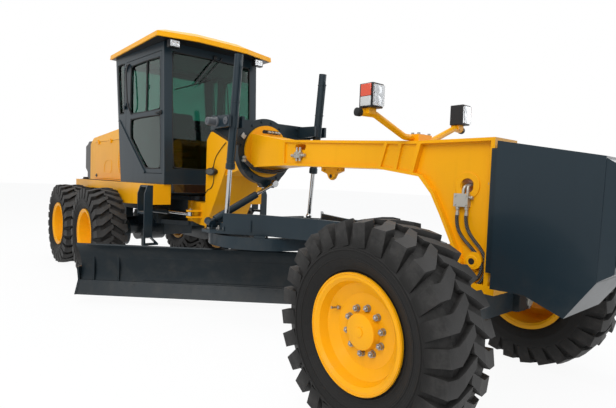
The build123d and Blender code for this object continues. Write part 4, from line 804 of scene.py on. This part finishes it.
# Leg plumbing: on each side a zinc plated valve block under the hole feeds two braided
# hoses. They hang in a bow past the boss and go in under the axle saddle.
zinc = painted(
    "zinc plated steel", (0.44, 0.42, 0.37), 0.42, "chrome_rod", chips=0.2, gloss=0.5, metal=0.55
)
side_port = ((0.010, 0), (0.010, 0.016), (0.013, 0.018), (0.013, 0.028))
hose_end = ((0.015, 0), (0.015, 0.022), (0.010, 0.024), (0.010, 0.040), (0.0135, 0.042), (0.0135, 0.068))
for side, word in sides:
    mesh = bmesh.new()
    y = side * 0.132
    cuboid(mesh, (6.047, side * 0.111, 1.386), (6.162, side * 0.152, 1.482))
    for x in (6.062, 6.147):
        for z in (1.466, 1.402):
            bolt(mesh, (x, side * 0.152, z), (0, side, 0), 0.013, 0.007)
    turned(mesh, side_port, axes_at((6.162, y, 1.455), (1, 0, 0)), 16)
    for x in (6.073, 6.146):
        turned(mesh, hose_end, axes_at((x, y, 1.388), (0, 0, -1)), 16)
    made(f"leg_valve_block_{word}", mesh, zinc, "front_frame", 0.003)
    for x, reach in ((6.112, 0.010), (6.148, -0.004)):
        inward = [(x + reach, side * out, z) for out, z in ((0.120, 1.540), (0.060, 1.550), (0.020, 1.552))]
        elbow = [(x, y, 1.480), (x, y, 1.515)] + inward
        pipe(f"leg_elbow_{round(x * 1000)}_{word}", elbow, 0.0105, zinc, "front_frame")
hose_rubber = painted("braided hose rubber", (0.010, 0.010, 0.010), 0.5, "tyre", dust=0.1, chips=0.0)
tree = hose_rubber.node_tree
where = shade(tree, "ShaderNodeTexCoord").outputs["Object"]
spiral = shade(
    tree, "ShaderNodeTexWave", Vector=where, Scale=34.0, Distortion=0.0, bands_direction="DIAGONAL"
).outputs["Fac"]
braid = shade(tree, "ShaderNodeBump", Strength=0.6, Distance=0.003, Height=spiral)
flecks = blend_colour(tree, ramp(tree, spiral, 0.80, 0.95), (0.010, 0.010, 0.010), (0.170, 0.160, 0.145))
feed(tree, tree.nodes["Principled BSDF"].inputs["Normal"], braid.outputs["Normal"])
feed(tree, tree.nodes["Principled BSDF"].inputs["Base Color"], flecks)
hose_rows = (
    ("rear", 0.641, (
        (6.073, 1.322), (6.073, 1.250), (6.120, 1.165), (6.215, 1.085),
        (6.290, 1.010), (6.285, 0.910), (6.215, 0.845), (6.150, 0.842),
    )),
    ("front", 0.659, (
        (6.146, 1.322), (6.150, 1.250), (6.200, 1.170), (6.285, 1.090),
        (6.325, 1.000), (6.312, 0.890), (6.240, 0.818), (6.160, 0.812),
    )),
)
for side, word in sides:
    for title, length, route in hose_rows:
        run = [(x, side * 0.138, z) for x, z in route]
        name = f"leg_hose_{title}_{word}"
        held_cord(name, run, 0.0125, hose_rubber, "front_frame")

# Boss plates: a thick yellow plate welded low in the leg's web on each side carries the
# bored boss, and a flat ring is welded round the hole. Bolts hold the leg's foot below.
# Black plugs in the bosses' bores are painted shade standing for the holes' dark insides.
mesh, bore_shading = bmesh.new(), bmesh.new()
web_face = 0.1095
boss_plate = ((6.118, 1.098), (6.206, 1.100), (6.250, 1.070), (6.262, 1.000), (6.240, 0.930), (6.145, 0.915))
boss = ((0.048, 0.0), (0.048, 0.030), (0.044, 0.034), (0.023, 0.034), (0.022, 0.020))
for side in (-1, 1):
    at = Matrix(((1, 0, 0, 0), (0, 0, side, side * web_face), (0, 1, 0, 0), (0, 0, 0, 1)))
    plate(mesh, boss_plate, 0.012, at)
    at = axes_at((6.216, side * 0.121, 1.001), (0, side, 0))
    turned(mesh, boss, at, 36)
    turned(bore_shading, ((0.0225, 0.020), (0.0225, 0.0345)), at, 28)
    at = axes_at((6.130, side * web_face, 1.540), (0, side, 0))
    loops = []
    for radius, height in ((0.053, 0), (0.099, 0), (0.099, 0.008), (0.053, 0.008)):
        loops.append([mesh.verts.new(at @ Vector((x, y, height))) for x, y in places_round(48, radius)])
    for inner, outer in zip(loops, loops[1:] + loops[:1]):
        skirt(mesh, inner, outer)
made("leg_boss_plates", mesh, yellow, "front_frame", 0.003)
made("leg_boss_bore_shading", bore_shading, rubber_trim, "front_frame")
mesh = bmesh.new()
for side in (-1, 1):
    bolt(mesh, (6.375, side * 0.120, 0.850), (0, 0, 1), 0.030, 0.018)
    for x in (6.165, 6.265):
        bolt(mesh, (x, side * 0.135, 0.7905), (0, 0, 1), 0.024, 0.014)
    bolt(mesh, (6.300, side * 0.1105, 1.560), (0, side, 0), 0.014, 0.008)
made("leg_foot_bolts", mesh, steel, "front_frame")

# Beam valve blocks: zinc plated steel under the beam's rear hole on each side, with short
# pipes up into the hole and a union on each end.
mesh = bmesh.new()
through = (
    (0.010, -0.038), (0.016, -0.036), (0.016, -0.014), (0.012, -0.012),
    (0.012, 0.014), (0.016, 0.016), (0.016, 0.030),
)
riser = ((0.016, 0), (0.016, 0.018), (0.011, 0.020), (0.011, 0.055))
for side in (-1, 1):
    y = side * 0.163
    cuboid(mesh, (4.195, side * 0.139, 1.765), (4.285, side * 0.188, 1.822))
    for x in (4.165, 4.315):
        turned(mesh, through, axes_at((x, y, 1.792), (1, 0, 0)), 16)
    for x in (4.215, 4.265):
        turned(mesh, riser, axes_at((x, y, 1.820), (0, 0, 1)), 16)
        turned(mesh, ((0.013, 0), (0.013, 0.030)), axes_at((x, y, 1.765), (0, 0, -1)), 16)
        bolt(mesh, (x, side * 0.188, 1.806), (0, side, 0), 0.014, 0.008)
made("beam_valve_blocks", mesh, zinc, "front_frame", 0.003)

# Saddle: a thick slate plate round the drum in a bolted cap, with a bearing end cap
# outboard of each cheek and a grease block on its face.
dress(slate, ["saddle"], 0.005)
mesh = bmesh.new()
for step in range(14):
    turn = radians(-60 + 300 * step / 13)
    spot = (3.435, 0.345 * cos(turn), 1.860 + 0.345 * sin(turn))
    if abs(spot[1]) > 0.10 or spot[2] > 1.9:
        bolt(mesh, spot, (1, 0, 0), 0.026, 0.014)
for side in (-1, 1):
    for y in (0.450, 0.620):
        for z in (2.090, 2.165):
            bolt(mesh, (3.435, side * y, z), (1, 0, 0), 0.022, 0.012)
made("saddle_bolts", mesh, slate, "front_frame")
mesh = bmesh.new()
bearing_cap = (
    (0.052, -0.02), (0.052, 0.018), (0.043, 0.024), (0.043, 0.112),
    (0.036, 0.120), (0.014, 0.120), (0.014, 0.128),
)
trunnion_x, trunnion_z = 3.667, 2.130
trunnion_cap = ((0.040, 0.0), (0.040, 0.010), (0.034, 0.016), (0.009, 0.016), (0.009, 0.026))
for side in (-1, 1):
    turned(mesh, bearing_cap, axes_at((3.470, side * 0.684, trunnion_z), (0, side, 0)), 32)
    turned(mesh, trunnion_cap, axes_at((trunnion_x, side * 0.685, trunnion_z), (0, side, 0)), 28)
end_grey = painted("end cap paint", (0.085, 0.090, 0.098), 0.45, "slate_paint", dust=0.3)
made("saddle_end_caps", mesh, end_grey, "front_frame", 0.002)
mesh = bmesh.new()
tilt = Matrix.Translation((3.4352, -0.300, 2.040)) @ Matrix.Rotation(radians(-40), 4, "X")
for depth, tall in ((0.010, 0.060), (0.016, 0.040)):
    face = ((0, -0.028), (depth, -0.028), (depth, 0.028), (0, 0.028))
    plate(mesh, face, tall, tilt @ Matrix.Translation((0, 0, -0.06)))
made("grease_block", mesh, steel, "front_frame", 0.002)

# Drum face: a thin black plate as painted shade where the slot for the pipes opens above the beam, and two
# hoses slung under the beam from one side of the saddle to the other.
mesh = bmesh.new()
slot_shade_outline = (
    (-0.070, 2.068), (0.175, 2.068), (0.190, 2.082), (0.170, 2.108), (-0.060, 2.108), (-0.078, 2.090),
)
plate(mesh, slot_shade_outline, 0.002, facing_ahead(3.4595))
made("drum_slot_shading", mesh, rubber_trim, "front_frame")
mesh = bmesh.new()
union = ((0.014, 0), (0.014, 0.022), (0.010, 0.024), (0.010, 0.036))
for y in (0.010, 0.055, 0.105, 0.148):
    turned(mesh, union, axes_at((3.4605, y, 2.087), (1, 0, 0)), 16)
made("drum_unions", mesh, zinc, "front_frame")
mesh = bmesh.new()
slung_union = ((0.018, -0.038), (0.018, -0.002), (0.0145, 0.0), (0.0145, 0.014))
for title, drop, rise, length in (("1", 0.0, 0.012, 0.79), ("2", 0.036, 0.022, 0.776)):
    low = rise - drop
    route = [
        (3.455, -0.315, 1.775 - drop), (3.492, -0.295, 1.715 + low), (3.505, -0.200, 1.648 + low),
        (3.510, -0.060, 1.628 + low), (3.510, 0.100, 1.626 + low), (3.505, 0.230, 1.655 + low),
        (3.492, 0.330, 1.725 + low), (3.455, 0.350, 1.790 - drop),
    ]
    name = f"drum_hose_{title}"
    held_cord(name, route, 0.0125, hose_rubber, "front_frame")
    for x, y, z in (route[0], route[-1]):
        turned(mesh, slung_union, axes_at((3.473, y, z), (1, 0, 0)), 16)
made("drum_hose_unions", mesh, zinc, "front_frame")

# Lift rams: slate tubes swung on trunnions, chromed rods down to balls on the drawbar.
# A steel pipe runs down each tube from its head, held by four band clamps.
circle_x, ball_y = 3.570, 0.590
for side, word in sides:
    tube = f"lift_tube_{word}"
    dress(slate, [tube], 0.003)
    dress(chrome, [f"lift_rod_{word}"])
    head = Vector((trunnion_x, side * ball_y, trunnion_z))
    ball = Vector((circle_x, side * ball_y, 1.100))
    down = (ball - head).normalized()
    out = Vector((down.z, 0, -down.x)) * -0.062
    line = [head + out + down * reach for reach in (-0.640, -0.400, 0.100, 0.430)]
    pipe(f"lift_pipe_{word}", [head + down * -0.650] + line + [head + down * 0.470], 0.009, slate, tube)
    mesh = bmesh.new()
    half = Vector((0.010, 0.010, 0.008))
    for reach in (-0.560, -0.200, 0.200, 0.400):
        spot = head + down * reach
        ring(mesh, axes_at(spot, down), 0.047, 0.004, 32, 6)
        cuboid(mesh, spot + out - half, spot + out + half)
    gland = ((0.046, 0.0), (0.051, 0.004), (0.051, 0.060), (0.034, 0.068))
    turned(mesh, gland, axes_at(head + down * 0.440, down), 32)
    made(f"lift_clamps_{word}", mesh, slate, tube, 0.001)

# Drawbar and circle: welded slate plate, dusty on top. The ball seats carry bolted caps,
# and hoses for the shift ram and the circle motor lie along the deck.
dress(slate, ["drawbar", "circle"], 0.004)
mesh = bmesh.new()
deck = 0.982
for side in (-1, 1):
    for x, y in places_round(4, 0.082, pi / 4):
        nut(mesh, (circle_x + x, side * ball_y + y, deck), (0, 0, 1), 0.030, 0.024, 0.010)
    for x, y in ((3.450, 0.735), (3.500, 0.660), (4.080, 0.330), (4.300, 0.250)):
        bolt(mesh, (x, side * y, deck), (0, 0, 1), 0.026, 0.014)
made("drawbar_bolts", mesh, steel, "drawbar")
hose_runs = (
    ("1", 1.120, (
        (3.470, -0.520, 1.010), (3.540, -0.440, 1.080), (3.650, -0.330, 1.120), (3.800, -0.230, 1.060),
        (3.980, -0.160, 1.010), (4.200, -0.100, 1.000), (4.420, -0.060, 0.996),
    )),
    ("2", 1.104, (
        (3.470, -0.475, 1.010), (3.555, -0.400, 1.070), (3.665, -0.290, 1.100), (3.810, -0.190, 1.050),
        (3.990, -0.115, 1.005), (4.210, -0.060, 0.998), (4.420, -0.020, 0.996),
    )),
)
for title, length, route in hose_runs:
    held_cord(f"deck_hose_{title}", route, 0.0115, hose_rubber, "drawbar")
mesh = bmesh.new()
deck_union = ((0.018, -0.030), (0.018, 0.008), (0.014, 0.012), (0.014, 0.030))
for y in (-0.528, -0.483):
    turned(mesh, deck_union, axes_at((3.462, y, 1.005), (0.6, 0.55, 0.55)), 16)
cuboid(mesh, (4.420, -0.085, 0.981), (4.470, 0.010, 1.025))
made("deck_hose_unions", mesh, zinc, "drawbar", 0.002)

# Shift ram: a slate steel tube with a chromed rod, from the drawbar's corner up to the
# saddle. A pin through each end holds it.
dress(slate, ["shift_tube"], 0.003)
dress(chrome, ["shift_rod"])

# Blade: rolled slate plate that slides in a tilting carrier. A row of plough bolts holds
# its wearing edge.
# The moldboard and its plough bolts take a darker copy of the slate paint as painted shade, with less dust.
shaded_blade_slate = painted(
    "blade paint darkened as painted shade", (0.006, 0.012, 0.016), 0.40, "slate_paint", coat=0.05, dust=0.12, gloss=0.2
)
dress(slate, ["blade_carrier"], 0.004)
dress(shaded_blade_slate, ["moldboard"], 0.004)
blade_turn = radians(47.15)
blade_along = Vector((cos(blade_turn), sin(blade_turn), 0))
blade_back = Vector((-sin(blade_turn), cos(blade_turn), 0))
edge_normal = (-blade_back * 0.905 + Vector((0, 0, 0.425))).normalized()
mesh = bmesh.new()
for step in range(28):
    spot = Vector((circle_x, 0, 0.232)) + blade_along * (-2.20 + step * 0.1525)
    turned(mesh, ((0.013, -0.004), (0.013, 0.001), (0.009, 0.0015)), axes_at(spot, edge_normal), 14)
made("edge_bolts", mesh, shaded_blade_slate, "moldboard")

# Front axle: a slate box beam with open cheeks, leaning yokes, kingpins and knuckles.
# Zinc plated caps close the pins, and the tie rod and lean bar run behind it.
dress(slate, ["front_axle", "tie_rod", "lean_bar"], 0.004)
dress(chrome, ["tie_stud"])
mesh = bmesh.new()
lean_cap = ((0.046, 0), (0.046, 0.010), (0.038, 0.014), (0.009, 0.014), (0.009, 0.022))
for side, word in sides:
    dress(slate, [f"knuckle_{word}", f"lean_yoke_{word}"], 0.003)
    y, z = side * 0.660, 0.620
    turned(mesh, lean_cap, axes_at((6.290, y, z), (1, 0, 0)), 28)
    for turn in (0.5, 2.6, 4.7):
        bolt(mesh, (6.290, y + 0.055 * cos(turn), z + 0.055 * sin(turn)), (1, 0, 0), 0.014, 0.008)
made("axle_pin_caps", mesh, zinc, "front_frame")

# Ballast: one block of steel plate in slate paint, bolted to the leg through its pad, with
# broken edges and a plain front face.
dress(slate, ["front_ballast"], 0.010)
mesh = bmesh.new()
for side in (-1, 1):
    for z in (1.00, 1.25, 1.50, 1.75):
        bolt(mesh, (6.440, side * 0.235, z), (-1, 0, 0), 0.036, 0.022)
made("ballast_bolts", mesh, steel, "front_frame")

# Headlamps: black housings on brackets of the yellow pipe, clamped to the beam's top. Each
# has clear twin reflectors in front and a two-colour turn lens outboard.
dress(yellow, ["headlamps"], 0.004)
amber = painted(
    "orange turn lens", (0.66, 0.055, 0.010), 0.16, "lamp_housing", coat=0.6, dust=0.05, chips=0.0, gloss=0.5
)
pale = painted(
    "clear side lens", (0.55, 0.55, 0.53), 0.16, "lamp_housing", coat=0.6, dust=0.05, chips=0.0, gloss=0.5
)
shells, fronts, bowls = bmesh.new(), bmesh.new(), bmesh.new()
orange_lens, pale_lens, caps, clamps = bmesh.new(), bmesh.new(), bmesh.new(), bmesh.new()
head_bowl = ((0.034, 0), (0.030, 0.0015), (0.012, 0.004))
pipe_cap = ((0.030, -0.030), (0.0315, -0.024), (0.0315, 0.012), (0.022, 0.018))
inboard, outboard = 0.540, 0.662
for side in (-1, 1):
    cuboid(shells, (5.536, side * inboard, 2.086), (5.664, side * outboard, 2.264))
    for z in (2.090, 2.252):
        cuboid(shells, (5.660, side * (inboard + 0.004), z), (5.670, side * (outboard - 0.004), z + 0.008))
    cuboid(bowls, (5.6642, side * (inboard + 0.008), 2.100), (5.6665, side * (outboard - 0.008), 2.250))
    for z in (2.140, 2.212):
        turned(bowls, head_bowl, axes_at((5.6665, side * 0.601, z), (1, 0, 0)), 28)
    cuboid(fronts, (5.672, side * (inboard + 0.005), 2.099), (5.680, side * (outboard - 0.005), 2.251))
    cuboid(orange_lens, (5.556, side * outboard, 2.168), (5.655, side * (outboard + 0.012), 2.256))
    cuboid(pale_lens, (5.556, side * outboard, 2.096), (5.655, side * (outboard + 0.012), 2.166))
    turned(caps, pipe_cap, axes_at((5.560, side * 0.700, 2.052), (-0.154, side * 0.988, 0)), 28)
    for x in (5.590, 5.650):
        bolt(clamps, (x, side * 0.070, 1.944), (0, 0, 1), 0.024, 0.014)
made("lamp_housings", shells, black, "front_frame", 0.010)
made("lamp_reflectors", bowls, reflector, "front_frame")
made("head_lenses", fronts, clear, "front_frame", 0.003)
made("turn_lenses", orange_lens, amber, "front_frame", 0.004)
made("side_lenses", pale_lens, pale, "front_frame", 0.004)
made("pipe_end_caps", caps, rubber_trim, "front_frame", 0.002)
made("lamp_clamp_bolts", clamps, steel, "front_frame")

# Floor, backdrop and light: a pale floor under soft daylight from a large lamp ahead, one
# above and a weaker one on the left. The backdrop is plain white.
def straight_on(tree):
    """1 on rays from the camera, off a gloss or through glass, which see plain white."""
    path = shade(tree, "ShaderNodeLightPath").outputs
    direct = calculate(tree, "MAXIMUM", path["Is Camera Ray"], path["Is Glossy Ray"])
    return calculate(tree, "MAXIMUM", direct, path["Is Transmission Ray"])


def mix_onto(tree, share, first, second, output):
    """Mixes two shaders and feeds the result to the Surface of an output node."""
    mixed = shade(tree, "ShaderNodeMixShader")
    for socket, value in zip(mixed.inputs, (share, first.outputs[0], second.outputs[0])):
        feed(tree, socket, value)
    feed(tree, tree.nodes[output].inputs["Surface"], mixed.outputs[0])


floor_mesh = bpy.data.meshes.new("floor")
floor_mesh.from_pydata([(-60, -60, 0), (60, -60, 0), (60, 60, 0), (-60, 60, 0)], [], [(0, 1, 2, 3)])
floor = bpy.data.objects.new("floor", floor_mesh)
bpy.context.scene.collection.objects.link(floor)
ground = bpy.data.materials.new("pale floor")
ground.use_nodes = True
tree = ground.node_tree
pale_paint = tree.nodes["Principled BSDF"]
feed(tree, pale_paint.inputs["Base Color"], (0.90, 0.90, 0.90))
feed(tree, pale_paint.inputs["Roughness"], 0.9)
glow = shade(tree, "ShaderNodeEmission", Strength=1.0, Color=(1, 1, 1))
mix_onto(tree, multiply(tree, straight_on(tree), 0.93), pale_paint, glow, "Material Output")
floor_mesh.materials.append(ground)

world = bpy.data.worlds.new("soft sky")
bpy.context.scene.world = world
world.use_nodes = True
tree = world.node_tree
sky = tree.nodes["Background"]
feed(tree, sky.inputs["Color"], (0.82, 0.90, 1.0))
feed(tree, sky.inputs["Strength"], 0.42)
plain = shade(tree, "ShaderNodeBackground", Strength=1.0, Color=(1, 1, 1))
mix_onto(tree, straight_on(tree), sky, plain, "World Output")

# Each lamp: name, watts, size, place, the point it faces
lamp_rows = (
    ("key light", 1060, 9.0, (9.0, -9.0, 9.0), (3.0, 0.0, 1.2)),
    ("top light", 640, 10.0, (1.0, 0.0, 11.0), (2.0, 0.0, 0.0)),
    ("left fill", 320, 8.0, (8.0, 9.0, 5.0), (3.0, 0.0, 1.0)),
)
for title, watts, size, place, target in lamp_rows:
    lamp_data = bpy.data.lights.new(title, "AREA")
    lamp_data.energy = watts
    lamp_data.size = size
    lamp = bpy.data.objects.new(title, lamp_data)
    bpy.context.scene.collection.objects.link(lamp)
    lamp.location = place
    lamp.rotation_mode = "QUATERNION"
    lamp.rotation_quaternion = (Vector(target) - Vector(place)).to_track_quat("-Z", "Y")
